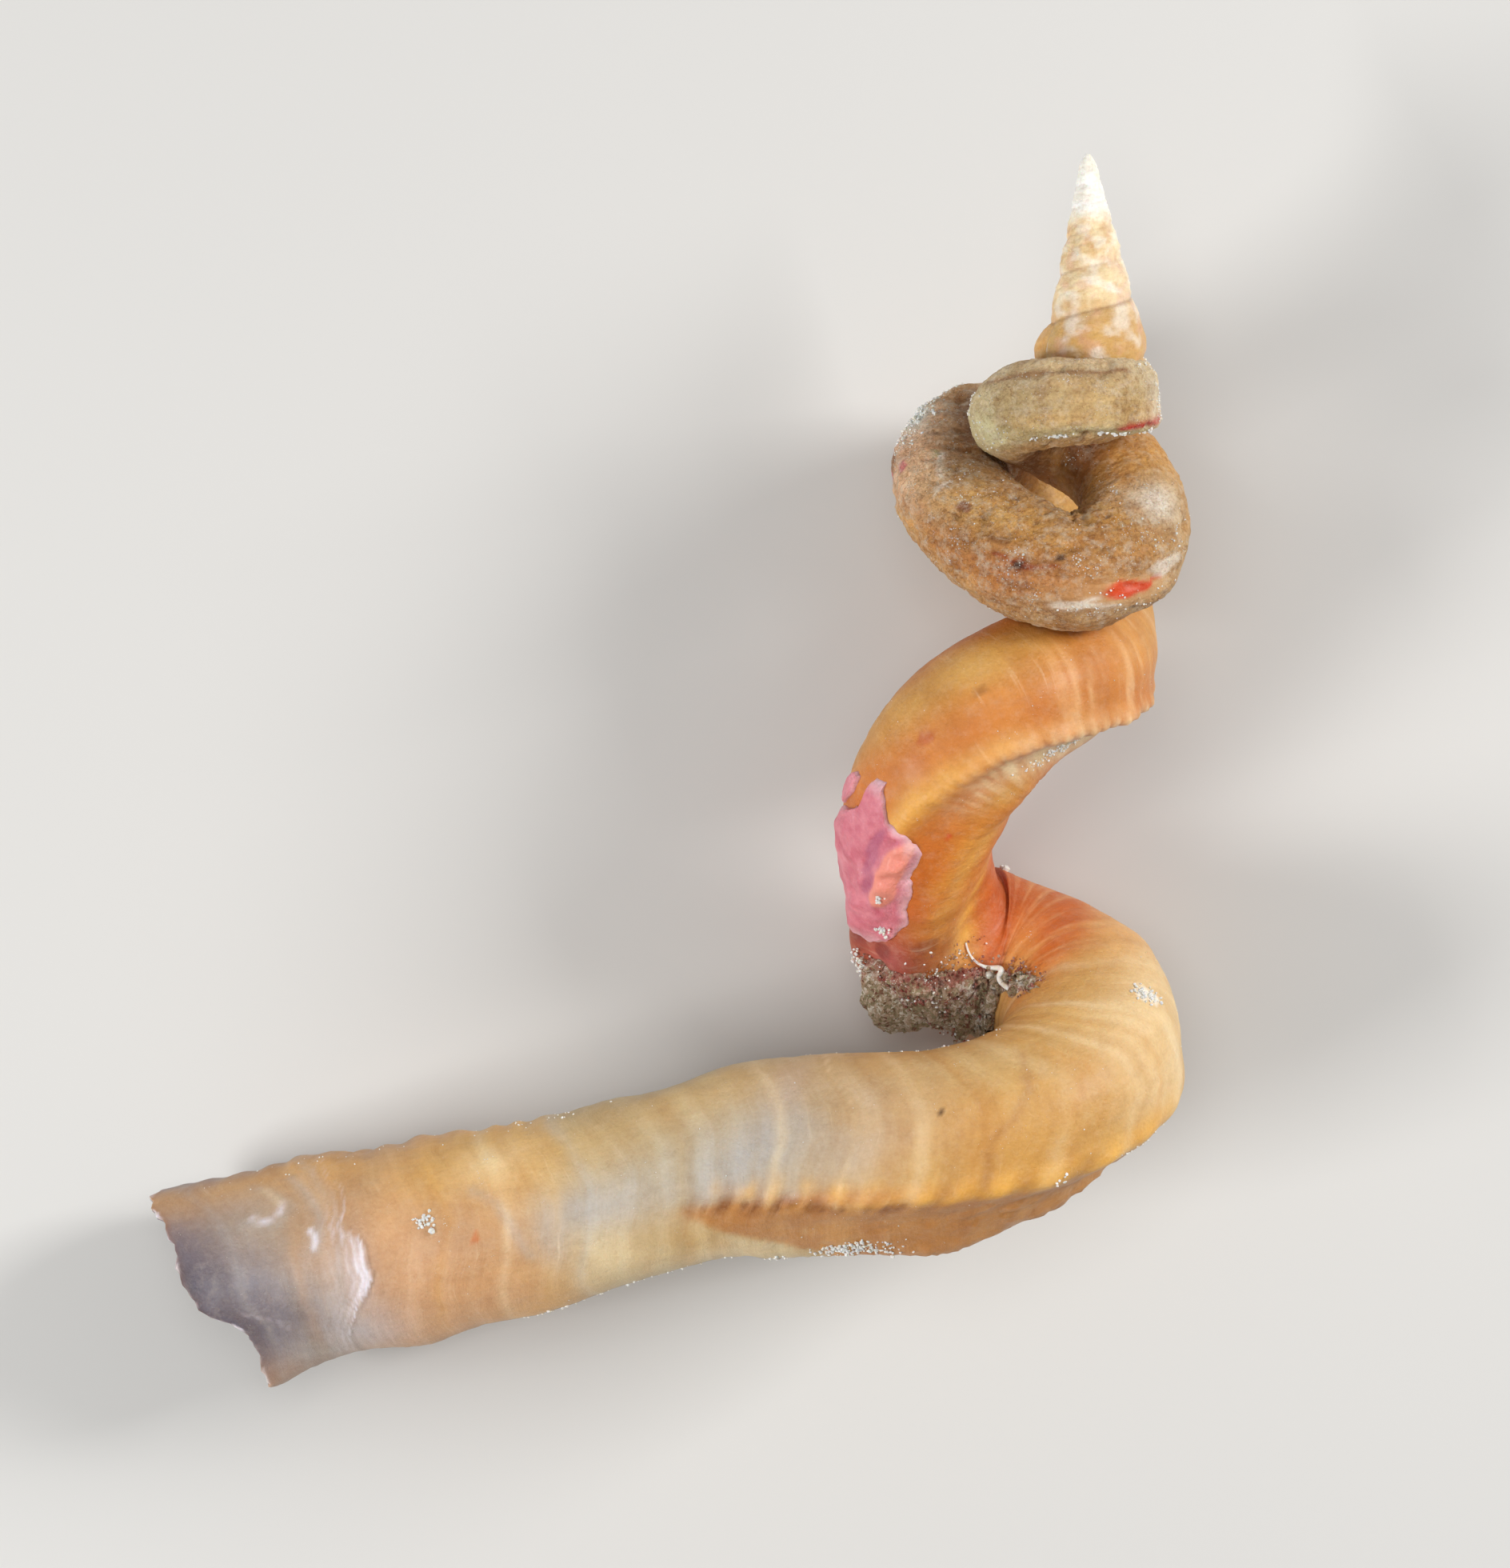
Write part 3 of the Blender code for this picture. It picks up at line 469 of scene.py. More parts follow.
patches = [     # place along, angle, reach along, width round, paint, strength
    # first open coil
    (7.4, 0, 1.3, 60, "cream", 0.6), (8, -4, 0.6, 44, "chalk", 0.7), (8.3, -64, 1.5, 20, "chalk", 0.35),
    (15.6, 0, 1.4, 60, "lichen", 0.65), (14.2, 34, 1.4, 26, "lichen", 0.55),
    (11.6, 24, 1.1, 14, "ochre", 0.75), (12.6, -34, 2.4, 10, "clay", 0.5),
    (10.6, -14, 0.8, 16, "ochre", 0.7), (9.4, 10, 1, 20, "straw", 0.6), (10.8, 46, 3.4, 10, "lichen", 0.5),
    (13.2, 0, 1.6, 20, "sand", 0.5), (12.4, 4, 3.2, 40, "lichen", 0.25), (17.5, 10, 1.4, 60, "sand", 0.4),
    # the ring and its hollow; the dark bark patches at 18, 21.6 and 44.5 and the umber one at 22.4 are
    # painted shade of the deep hollow over its brown wall
    (21.6, -166, 2.2, 36, "cavityShade", 0.85), (18, 108, 2.2, 22, "cavityShade", 0.7),
    (24.6, -120, 2.4, 34, "ochre", 0.6), (22.4, -138, 2.2, 42, "umber", 0.8),
    (25.2, -74, 1.4, 20, "ochre", 0.6), (44.5, -110, 3.4, 44, "cavityShade", 0.75),
    (28, -38, 1.1, 22, "lichen", 0.45), (26.5, 0, 1.4, 36, "ochre", 0.25), (30, -8, 1.6, 24, "ochre", 0.35),
    (31.6, 42, 1.8, 14, "sand", 0.7), (34.5, 10, 3.2, 20, "brown", 0.5), (34, -30, 2.8, 18, "ochre", 0.65),
    (37.5, -6, 2.5, 18, "brown", 0.35), (37.5, -56, 2.4, 14, "ochre", 0.7),
    (39.6, -62, 1.6, 12, "olive", 0.5), (36, 26, 2.4, 12, "ochre", 0.5), (42, -20, 1.2, 14, "blush", 0.6),
    (44.8, -36, 1.6, 20, "blush", 0.8), (44.6, -52, 1.2, 12, "frost", 0.6), (43, -30, 2, 22, "blush", 0.6),
    (42, -60, 2.4, 16, "clay", 0.6), (12, -50, 3, 16, "sand", 0.6), (8.8, -30, 1.4, 24, "sand", 0.6),
    (14.5, -20, 1.6, 20, "sand", 0.6), (29, 20, 1.4, 16, "sand", 0.5), (31, -36, 2, 14, "brown", 0.6),
    (40.6, 16, 2, 12, "straw", 0.9), (37, 44, 3, 12, "straw", 0.7), (33, 46, 2, 12, "clay", 0.5),
    # the straw patches at 23.4 and 52.7 are painted light: they brighten the strip seen in the hole, which
    # lies in shade
    (29.8, -60, 1.6, 16, "ochre", 0.6), (47.8, -70, 2, 26, "sand", 0.5), (23.4, 146, 1.6, 16, "straw", 0.9),
    (52.7, -146, 3, 22, "straw", 0.9), (43.6, -44, 1.8, 24, "peach", 0.7), (42, -30, 2, 26, "peach", 0.5),
    (46, -76, 2, 22, "peach", 0.6), (11.6, -60, 3.4, 14, "cream", 0.5), (28, -50, 0.7, 18, "chalk", 0.6),
    (44.6, -50, 1.8, 18, "cream", 0.7), (41.4, -30, 1.8, 20, "cream", 0.4), (35, 18, 4, 22, "orange", 0.3),
    (43.6, -40, 2.4, 26, "blush", 0.5), (45, -57, 0.9, 10, "chalk", 0.9), (36.5, -36, 3, 14, "straw", 0.5),
    # third coil
    (62.5, -30, 2.4, 34, "ochre", 0.8), (64.5, 24, 1.6, 20, "amber", 0.4), (71, 14, 4, 22, "amber", 0.4),
    (68.4, -46, 3.4, 18, "ochre", 0.75), (72.4, -36, 2.4, 20, "straw", 0.8),
    (75.4, -48, 2.4, 14, "ochre", 0.8), (77, -40, 1.4, 12, "brown", 0.4), (71, 8, 3, 18, "amber", 0.4),
    (84.4, 170, 3.2, 16, "orange", 0.95), (66.4, -12, 1.6, 14, "apricot", 0.25),
    (84.6, 104, 1.5, 34, "brick", 0.75), (85.3, 86, 0.8, 26, "maroon", 0.45),
    (72.6, 33, 3.4, 7, "honey", 0.6), (69.8, 52, 2.6, 10, "blush", 0.75), (69.6, 66, 0.9, 5, "chalk", 0.8),
    (69, 0, 6, 60, "ochre", 0.3), (67.6, 66, 2.2, 12, "cream", 0.8), (72, 68, 2.4, 10, "biscuit", 0.9),
    (75.8, 34, 1.8, 9, "gold", 0.6), (74, 84, 1.8, 10, "ochre", 0.7), (80, 112, 4, 12, "honey", 0.95),
    (84.5, 140, 2.6, 12, "apricot", 0.8), (91.8, 128, 1.6, 26, "pewter", 0.95),
    (91, 110, 1.4, 16, "clay", 0.9), (84.4, 46, 0.7, 9, "maroon", 0.9), (85, 74, 0.7, 16, "rose", 0.5),
    (85.2, 100, 0.8, 20, "maroon", 0.5), (82.6, 96, 1.6, 20, "brick", 0.4), (79, 80, 1.6, 14, "amber", 0.6),
    (78.6, 40, 1, 14, "ochre", 0.4),
    # behind the last coil and its inner wall
    (92.4, -108, 4, 34, "orange", 0.75), (95.4, -112, 2, 18, "orange", 0.8),
    (88.5, -130, 3, 26, "rust", 0.85), (97, -128, 2.6, 16, "orange", 0.7),
    (98.4, -44, 2.2, 22, "cream", 0.45), (101, -14, 2.2, 34, "cream", 0.5),
    (102.6, 10, 1.2, 18, "cream", 0.5), (96.6, -82, 1.4, 12, "apricot", 0.6),
    (100.5, -92, 2.2, 20, "straw", 0.6),
    # long tube
    (106, 14, 2.4, 24, "ochre", 0.55), (104.4, -16, 2, 24, "ochre", 0.35),
    (108.5, -10, 1.2, 22, "ochre", 0.55), (109, -60, 3, 22, "sand", 0.5), (103.8, 34, 2.2, 7, "gold", 0.85),
    (108.4, 31, 1.6, 5, "gold", 0.8), (111.6, 30, 1.2, 4, "honey", 0.9), (115, 26, 1, 4, "gold", 0.9),
    (117.6, 27, 3, 3.5, "amber", 0.8), (121, 21, 1.2, 4, "ochre", 0.7), (109, 48, 3, 12, "ochre", 0.6),
    (106, 66, 3, 18, "ochre", 0.7), (112, 74, 3.6, 12, "apricot", 0.7), (121.8, 66, 2.6, 14, "cream", 0.6),
    # the lilac, mist and pewter patches from 115 to 128 are a painted sheen along the tube's crest
    (117.2, -44, 0.8, 18, "lilac", 0.5), (111.5, -14, 2, 26, "clay", 0.35),
    (115.4, -20, 2.4, 24, "mist", 0.55), (118.6, -10, 2.2, 22, "mist", 0.85),
    (121.4, 6, 3, 14, "mist", 0.75), (124, -10, 2.2, 20, "pewter", 0.8), (127.4, 6, 2.4, 16, "mist", 0.75),
    (120, -56, 4, 20, "straw", 0.45), (128.6, -36, 3, 16, "straw", 0.4), (124, 46, 2.4, 20, "straw", 0.5),
    (128, 40, 1.8, 16, "cream", 0.7), (129.8, 18, 0.6, 14, "mist", 0.6),
    (131.4, -44, 1.6, 18, "ochre", 0.35), (132.4, 8, 1.4, 20, "clay", 0.7),
    (134.4, -10, 1.4, 16, "clay", 0.6), (134.6, 12, 1.6, 14, "clay", 0.5),
    (134, -60, 2.6, 16, "straw", 0.8), (132.4, -42, 1.4, 12, "cream", 0.5),
    (134.6, 46, 3, 18, "biscuit", 0.8), (138.2, -50, 0.8, 20, "pewter", 0.5),
    (137.6, -30, 0.7, 24, "peach", 0.5), (135.4, -46, 1.6, 16, "straw", 0.6),
    (136.4, 40, 2.4, 22, "biscuit", 0.7), (139.4, 12, 0.5, 16, "lilac", 0.55),
    (140.2, 48, 1.4, 18, "lilac", 0.45), (141, 30, 1.6, 26, "mist", 0.5), (140.6, -8, 1.4, 22, "clay", 0.5),
    (143.2, -28, 1.4, 16, "pewter", 0.7), (143.6, -62, 4, 14, "ochre", 0.7),
    (148, -58, 2.4, 12, "apricot", 0.8), (140.6, -62, 1.4, 16, "apricot", 0.8),
    (143.6, 14, 1.8, 20, "mist", 0.6), (142.4, -46, 1.6, 12, "mist", 0.35),
    # the slate patches are painted shade: the dark bore seen through the thin lip
    (148.6, -34, 0.8, 24, "boreShade", 0.8), (147.4, -2, 1.9, 20, "boreShade", 0.95),
    (145.6, 22, 1.6, 16, "boreShade", 0.7), (145, -10, 1.6, 24, "violet", 0.5),
    (149.6, -50, 1.2, 16, "peat", 0.6), (144.6, 30, 1.8, 24, "violet", 0.7),
    (146.4, 10, 2, 30, "boreShade", 0.55), (146.8, 84, 2.4, 14, "biscuit", 0.9),
    (143, 66, 1.4, 18, "mist", 0.6),
]
marks = [       # the same, with hard uneven edges
    (30.9, 24, 0.85, 8, "vermilion", 1), (33.8, 2, 0.42, 5, "brick", 0.8), (33.9, 3, 0.22, 3, "peat", 0.9),
    (43, -20, 0.5, 9, "umber", 0.8), (76.9, 76, 0.14, 3, "vermilion", 0.8),
    (4.4, -10, 0.14, 5, "scarlet", 0.7), (32.6, -11, 0.16, 2.4, "peat", 0.9),
    (37.4, -34, 0.35, 6, "maroon", 0.7), (41.9, -32, 0.3, 6, "rose", 0.9), (42.8, -8, 0.28, 5, "rose", 0.9),
    (44.2, -34, 0.3, 5, "rose", 0.8), (41.2, -66, 0.25, 4, "olive", 0.9), (71.6, -14, 0.2, 3, "umber", 0.5),
    (73.8, -2, 0.35, 4, "rust", 0.7), (99.9, -43, 0.3, 8, "chalk", 0.9), (133.3, 4, 0.2, 3, "amber", 0.8),
    (148.6, -24, 0.35, 5, "ochre", 0.9), (110, -20, 0.08, 1.1, "peat", 0.9),
    (34.9, -16, 0.4, 5, "umber", 0.6), (45, -60, 0.8, 12, "chalk", 0.6), (39, -40, 0.12, 10, "chalk", 0.6),
    (32.4, 38, 0.5, 5, "chalk", 0.5), (84.6, 70, 0.5, 8, "maroon", 0.6),
    (83.9, 104, 0.5, 10, "maroon", 0.4), (29.4, 14, 0.7, 8, "chalk", 0.5),
]
# growth arcs that stand out: level place, width, paint and strength
arcs = [(96.0, 0.25, "apricot", 0.5), (99.2, 0.3, "cream", 0.35), (102.4, 0.25, "cream", 0.45),
        (103.8, 0.22, "ochre", 0.5), (105.0, 0.25, "cream", 0.4), (106.4, 0.2, "ochre", 0.55),
        (107.6, 0.45, "cream", 0.3), (110.6, 0.5, "ochre", 0.35),
        (113.0, 0.3, "cream", 0.3), (116.2, 0.10, "cream", 0.6), (119.6, 0.3, "cream", 0.35),
        (124.8, 0.3, "sand", 0.3), (129.6, 0.35, "mist", 0.3), (131.2, 0.3, "straw", 0.3),
        (133.6, 0.25, "cream", 0.3), (136.8, 0.3, "ochre", 0.35), (141.6, 0.2, "mist", 0.3),
        (143.2, 0.25, "ochre", 0.2), (145.4, 0.2, "mist", 0.3), (62.8, 0.1, "cream", 0.2),
        (64.9, 0.1, "cream", 0.2)]
# thin curved marks: width, paint, strength and a few places along and round
strokes = [
    (0.26, "mist", 0.35, [(142.6, -60), (141.9, -46), (141.5, -38), (142.0, -28), (143.2, -32)]),
    (0.17, "cream", 0.35, [(142.3, -54), (141.8, -41)]),
    (0.14, "frost", 0.5, [(141.8, -41), (141.9, -35), (142.4, -31), (142.9, -34)]),
    (0.24, "mist", 0.4, [(141.4, -62), (140.9, -44), (140.5, -28), (140.8, -8)]),
    (0.13, "frost", 0.65, [(140.9, -20), (140.7, -15), (140.85, -10)]),
    (0.20, "brown", 0.4, [(105.9, -52), (106.4, -26), (107.4, -8), (108.4, 3), (109.0, 32)]),
    (0.20, "ochre", 0.5, [(104.0, -30), (105.2, -6), (105.9, 19), (106.0, 30)]),
    (0.17, "scarlet", 1.0, [(9.8, 42), (9.1, 36), (8.0, 31)]),
    (0.12, "lilac", 0.2, [(144.9, 22), (144.2, 30), (143.9, 38)]),
    (0.30, "mist", 0.35, [(133.0, -26), (132.0, -16), (131.4, 0), (131.0, 22)]),
    (0.14, "chalk", 0.6, [(39.6, -50), (40.6, -62), (41.0, -70)]),
    (0.12, "chalk", 0.6, [(31.8, 30), (32.2, 36), (31.4, 40)]),
    (0.16, "umber", 0.7, [(14.4, -38), (12.0, -42), (9.4, -38)]),
    (0.10, "brick", 0.9, [(34.9, -3), (34.3, -1), (33.9, 2), (33.2, 0), (32.8, -2)]),
    (0.10, "umber", 0.9, [(34.2, 8), (33.9, 3), (33.7, -5)]),
    (0.09, "umber", 0.9, [(33.8, 2), (33.2, 7)]),
]
# soft streaks: pattern, angle, width round, start, end, fade, paint and strength
streaks = [
    ("hatched", 60, 13, 63, 76, 3, "cream", 0.8), ("threaded", 8, 30, 60.5, 70, 1.5, "peach", 0.65),
    ("threaded", -110, 40, 89, 99, 2, "peach", 0.45), ("patchy", 97, 9, 75, 84, 2, "gold", 0.3),
    ("beaded", 150, 9, 79.5, 87.5, 1.5, "gold", 0.9),
]
paintSettings = {"wander": 0.5, "markEdge": 0.28, "markSteep": 6, "lipBand": 0.5, "boreFade": 14}


def brush(tint, amount, name):
    tint += amount[:, None] * (np.array(srgb(*paints[name])) - tint)


def groundTint(at, stops):
    # colours blended between stops, each a place and a paint
    colours = np.array([srgb(*paints[name]) for place, name in stops])
    places = [place for place, name in stops]
    return np.stack([np.interp(at, places, colours[:, i]) for i in range(3)], 1)


def blotches(points, scale, seed, octaves, level, gain):
    return np.clip(level + gain * field(points, scale, seed, octaves), 0, 1)


def strokeAmount(along, angle, width, places):
    # how near each point is to a bent line, measured on the shell's face
    spots = [(s, float(onLine(s, radiusColumn)) * math.radians(a)) for s, a in places]
    nearest = np.full(len(along), np.inf)
    y = onLine(along, radiusColumn) * np.radians(wrapped(angle))
    for (x1, y1), (x2, y2) in zip(spots, spots[1:]):
        t = ((along - x1) * (x2 - x1) + (y - y1) * (y2 - y1)) / ((x2 - x1) ** 2 + (y2 - y1) ** 2)
        t = np.clip(t, 0, 1)
        nearest = np.minimum(nearest, np.hypot(along - x1 - t * (x2 - x1), y - y1 - t * (y2 - y1)))
    return np.exp(-(nearest / width) ** 2)


def paintShell(along, angle, inner):
    flat = straight(along, angle)
    tint = groundTint(along, ground)
    wander = 1 + paintSettings["wander"] * field(flat, 0.35, 11, 3)
    for place, side, reach, width, name, strength in patches:
        near = spot(along, angle, place, side, reach, width)
        brush(tint, np.clip(near * strength * wander, 0, 1), name)
    broken = blotches(flat, 0.3, 14, 1, 0.8, 1.2)
    for place, width, name, strength in arcs:
        brush(tint, strength * np.exp(-((flat[:, 0] - place) / width) ** 2) * broken, name)
    keel, beads, teeth = keelShape(along, angle, flat)
    patchy = np.maximum(blotches(flat, 0.5, 16, 2, 0.5, 1.6), 0.1)
    stainsAndShadow = blotches(flat * (2.2, 0.5, 0.5), 1, 19, 2, 0.4, 1.8)
    face = np.clip((angle - keel - 2) / 5, 0, 1) * window(along, 102, 124.4, 3)
    face *= np.clip((curveOf("facetEnd", along) - angle) / 8, 0, 1)
    onKeel = strip(along, angle, keel - 2, 6, 101, 122, 1.5)
    # a dotted umber line just below the shoulder keel is painted shadow
    keelShadow = strip(along, angle, keel + 6, 4, 110, 123.5, 2) * stainsAndShadow
    toothed = strip(along, angle, keel + 3, 5, 60, 71, 2) * teeth ** 3
    for amount, name in ((face * 0.7, "ochre"), (face * (0.5 - 0.25 * patchy), "brown"),
                         (face * 0.25, "amber"), (keelShadow * 0.85, "umber"),
                         (face * bell(angle, keel + 15, 5) * patchy * 0.35, "brown"),
                         (onKeel * beads * patchy * 0.7, "gold"),
                         (onKeel * (1 - beads) * patchy * 0.4, "brown"), (toothed * 0.9, "cream")):
        brush(tint, amount, name)
    patterns = {"hatched": blotches(flat * (3.2, 0.35, 0.35), 1, 17, 2, 0.5, 1.8),
                "threaded": blotches(flat * (2.8, 0.12, 0.12), 1, 18, 2, -0.1, 2.4),
                "patchy": patchy, "beaded": 0.4 + 0.6 * beads}
    for pattern, place, width, start, end, fade, name, strength in streaks:
        near = strip(along, angle, place, width, start, end, fade)
        brush(tint, strength * patterns[pattern] * near, name)
    for width, name, strength, places in strokes:
        brush(tint, strength * strokeAmount(along, angle, width, places), name)
    edge = paintSettings["markEdge"] * field(flat, 1.6, 12, 3)
    for place, side, reach, width, name, strength in marks:
        near = spot(along, angle, place, side, reach, width)
        near = (near + edge * (near > 0.05) - 0.5) * paintSettings["markSteep"]
        brush(tint, strength * np.clip(near, 0, 1), name)
    ridge, frills = scarShape(along, angle, flat)
    brush(tint, 0.95 * np.clip(1.6 * ridge ** 3 + 1.1 * frills, 0, 1), "frost")
    fromLip = (lipEnd(angle) - towardLip(along, angle)) / paintSettings["lipBand"]
    lipBand = np.clip(1 - fromLip, 0, 1) ** 2
    brush(tint, 0.5 * lipBand * bell(angle, -40, 26), "umber")
    brush(tint, 0.85 * lipBand ** 5 * blotches(flat, 1.8, 15, 1, 0.4, 2), "frost")
    depth = formSettings["lipStart"] - along
    inside = groundTint(depth, [(0, "violet"), (paintSettings["boreFade"], "tan")])
    return tint + np.clip(inner * 2 - 0.6, 0, 1)[:, None] * (inside - tint)


tubeSettings = {"start": 0.5, "ringShare": 0.2, "clear": 0.2, "boreDepth": 62, "boreStep": 3.1,
                "scarMiddle": 140, "scarReach": 2.6, "scarShare": 0.4, "levels": 2,
                "sides": (-165, -140, -118, -99, -82, -66, -50, -35, -20, -6, 8, 20, 31, 42, 54,
                          68, 83, 98, 116, 140),
                "crustGain": 7, "cleanPatch": (30.9, 24, 0.9, 9), "clean": 0.8}


def tubeStations():
    stations, along = [], tubeSettings["start"]
    lip, step = formSettings["lipStart"], tubeSettings["boreStep"]
    while along < lip - tubeSettings["clear"]:
        stations.append((along, 0))
        nearScar = abs(along - tubeSettings["scarMiddle"]) < tubeSettings["scarReach"]
        share = tubeSettings["ringShare"] * (tubeSettings["scarShare"] if nearScar else 1)
        along += share * float(onLine(along, radiusColumn))
    bore = [(lip - step * (i + 1), 1) for i in range(int(tubeSettings["boreDepth"] / step))]
    return stations + [(lip, 0), (lip, 1)] + bore


shell, along, inner, angle = sweep("shellSurface", tubeStations(), tubeSettings["sides"],
                                   tubeSettings["levels"])
shellPoints = shellPoint(towardLip(along, angle), angle, 0, inner)
shellPoints[:, 2] = np.maximum(shellPoints[:, 2], 0)       # flats are worn where it lies
placeVertices(shell, shellPoints)
crusted = np.clip(curveOf("rough", along) * tubeSettings["crustGain"], 0, 1)
clean = np.clip(2 * spot(along, angle, *tubeSettings["cleanPatch"]), 0, 1)
setAttribute(shell, "straight", straight(along, angle))
setAttribute(shell, "tint", paintShell(along, angle, inner))
setAttribute(shell, "rough", crusted * (1 - tubeSettings["clean"] * clean))
print("tube ready:", len(shell.data.polygons), "faces")

# The spire, a cone of turns between seams that run round it as a helix
spireSettings = {
    "tip": (20.95, 30.55, 4.9), "foot": (21.35, 20.7, 5.8), "end": (21.3, 18.9),
    "seams": (30.15, 29.33, 28.30, 27.12, 25.42, 23.44, 20.5, 17.6),
    "tipRadius": 0.36, "taper": 0.2125, "tipRounding": 0.6, "tipBlunt": 0.12,
    "swell": 0.115, "lean": 0.85, "full": 0.6, "bunch": 1.08, "footRounding": 0.97,
    "rows": 34, "sides": 18, "levels": 2, "ribs": 5, "ribHeight": 0.01, "ribStart": 0.7,
    "bumps": 0.05, "turnLength": 3, "rough": 0.25,
    "ground": [(19, "straw"), (22, "straw"), (23.4, "cream"), (27, "cream"), (28, "chalk"),
               (30.5, "chalk")],
    "stainsAndShadow": [     # noise seed and scale, paint and strength
        (22, 0.8, "straw", 0.6), (23, 1.1, "blush", 0.4), (24, 2.2, "ochre", 0.2),
        (25, 0.9, "chalk", 0.5),
    ],
    "stainTop": 28.2, "paleSide": (-20, 34), "paleFoot": 21.5, "seamWidth": 0.03, "mostShadedSeam": 5,
}


def spirePoint(share, angle):
    s = spireSettings
    tip, foot = np.array(s["tip"]), np.array(s["foot"])
    y = tip[1] + (s["end"][1] - tip[1]) * share ** s["bunch"]
    axis = tip + ((tip[1] - y) / (tip[1] - foot[1]))[:, None] * (foot - tip)
    cone = s["tipRadius"] + s["taper"] * (s["seams"][0] - y)
    cone = cone * np.sqrt(np.minimum(1, (tip[1] + s["tipBlunt"] - y) / s["tipRounding"]))
    rounding = np.clip((s["end"][0] - y) / (s["end"][0] - s["end"][1]), 0, 1) * s["footRounding"]
    cone = cone * np.sqrt(1 - rounding ** 2)
    turns = np.interp(-y, [-seam for seam in s["seams"]], range(len(s["seams"])))
    turn = np.radians(angle)
    phase = (turns - (angle % 360) / 360) % 1
    full = np.sin(math.pi * phase ** s["lean"]) ** s["full"]
    flat = np.stack([turns * s["turnLength"], cone * np.cos(turn), cone * np.sin(turn)], 1)
    ribs = s["ribHeight"] * np.sin(2 * math.pi * phase * s["ribs"]) * (cone > s["ribStart"])
    radius = cone * (1 + s["swell"] * full) + s["bumps"] * field(flat, 1.3, 21, 4) + ribs
    spots = np.stack([axis[:, 0] + radius * np.cos(turn), y, axis[:, 2] + radius * np.sin(turn)], 1)
    return spots + routeShift, phase, turns, y


def paintSpire(angle, phase, turns, height, flat):
    s = spireSettings
    tint = groundTint(height, s["ground"])
    for seed, scale, name, strength in s["stainsAndShadow"]:
        stain = strength * blotches(flat, scale, seed, 4, -0.1, 2.4)
        brush(tint, stain * np.clip((s["stainTop"] - height) / 2, 0, 1), name)
    upper = np.clip((height - s["paleFoot"]) / 2, 0.2, 1)
    brush(tint, 0.6 * upper * bell(angle, *s["paleSide"]), "chalk")
    # umber along the seams is painted shade in the grooves between turns, strongest near turn five
    seam = np.exp(-(np.minimum(phase, 1 - phase) / s["seamWidth"]) ** 2)
    dark = np.exp(-((turns - s["mostShadedSeam"]) / 0.5) ** 2)
    brush(tint, seam * (0.15 + 0.35 * dark), "umber")
    return tint


spireStations = [(i / spireSettings["rows"], 0) for i in range(spireSettings["rows"] + 1)]
spireSides = [360 * i / spireSettings["sides"] for i in range(spireSettings["sides"])]
spire, along, inner, angle = sweep("spire", spireStations, spireSides, spireSettings["levels"])
points, phase, turns, height = spirePoint(along, angle)
placeVertices(spire, points)
turn = np.radians(angle)
spireFlat = np.stack([turns * spireSettings["turnLength"], 2 * np.cos(turn), 2 * np.sin(turn)], 1)
setAttribute(spire, "tint", paintSpire(angle, phase, turns, height, spireFlat))
setAttribute(spire, "straight", spireFlat * (0.25, 1, 1))
setAttribute(spire, "rough", np.full(len(height), spireSettings["rough"]))
print("spire ready:", len(spire.data.polygons), "faces")


def joinInto(piece, other):
    bpy.ops.object.select_all(action="DESELECT")
    other.select_set(True)
    piece.select_set(True)
    bpy.context.view_layer.objects.active = piece
    bpy.ops.object.join()


joinInto(shell, spire)


# Materials. A value or a socket can go into any input.
def put(tree, socket, value):
    if isinstance(value, bpy.types.NodeSocket):
        tree.links.new(value, socket)
    else:
        socket.default_value = value


def addNode(tree, kind, inputs, **settings):
    node = tree.nodes.new("ShaderNode" + kind)
    node.location = (220 * (len(tree.nodes) % 8), -260 * (len(tree.nodes) // 8))
    for name, value in settings.items():
        setattr(node, name, value)
    for name, value in inputs.items():
        put(tree, node.inputs[name], value)
    return node


def attribute(tree, name, output="Fac"):
    return addNode(tree, "Attribute", {}, attribute_name=name).outputs[output]


def noiseOf(tree, vector, scale, detail=3.0, roughness=0.55):
    return addNode(tree, "TexNoise", {"Vector": vector, "Scale": scale, "Detail": detail,
                                      "Roughness": roughness}).outputs[0]


def cellsOf(tree, vector, scale, output="Distance"):
    return addNode(tree, "TexVoronoi", {"Vector": vector, "Scale": scale}).outputs[output]


def scaled(tree, vector, scale):
    return addNode(tree, "Mapping", {"Vector": vector, "Scale": scale}).outputs[0]


def between(tree, value, low, high, start=0.0, end=1.0):
    return addNode(tree, "MapRange", {"Value": value, "From Min": low, "From Max": high,
                                      "To Min": start, "To Max": end}).outputs[0]


def calculate(tree, operation, first, second):
    return addNode(tree, "Math", {0: first, 1: second}, operation=operation).outputs[0]


def times(tree, first, second):
    return calculate(tree, "MULTIPLY", first, second)


def mixed(tree, amount, first, second, blend="MIX"):
    return addNode(tree, "Mix", {0: amount, 6: first, 7: second}, data_type="RGBA",
                   blend_type=blend).outputs[2]


def ramp(tree, value, first, last, *others):
    # colours between stops, each a position and a colour
    node = addNode(tree, "ValToRGB", {0: value})
    stops = node.color_ramp.elements
    for stop, (position, colour) in zip(stops, (first, last)):
        stop.position, stop.color = position, colour
    for position, colour in others:
        stops.new(position).color = colour
    return node.outputs[0]


def makeGroup(name, inputs, outputs):
    group = bpy.data.node_groups.new(name, "ShaderNodeTree")
    for way, sockets in (("INPUT", inputs), ("OUTPUT", outputs)):
        for label, kind in sockets.items():
            group.interface.new_socket(label, in_out=way, socket_type="NodeSocket" + kind)
    return group, group.nodes.new("NodeGroupInput").outputs, group.nodes.new("NodeGroupOutput").inputs


def useGroup(tree, group, inputs):
    return addNode(tree, "Group", inputs, node_tree=group).outputs[0]


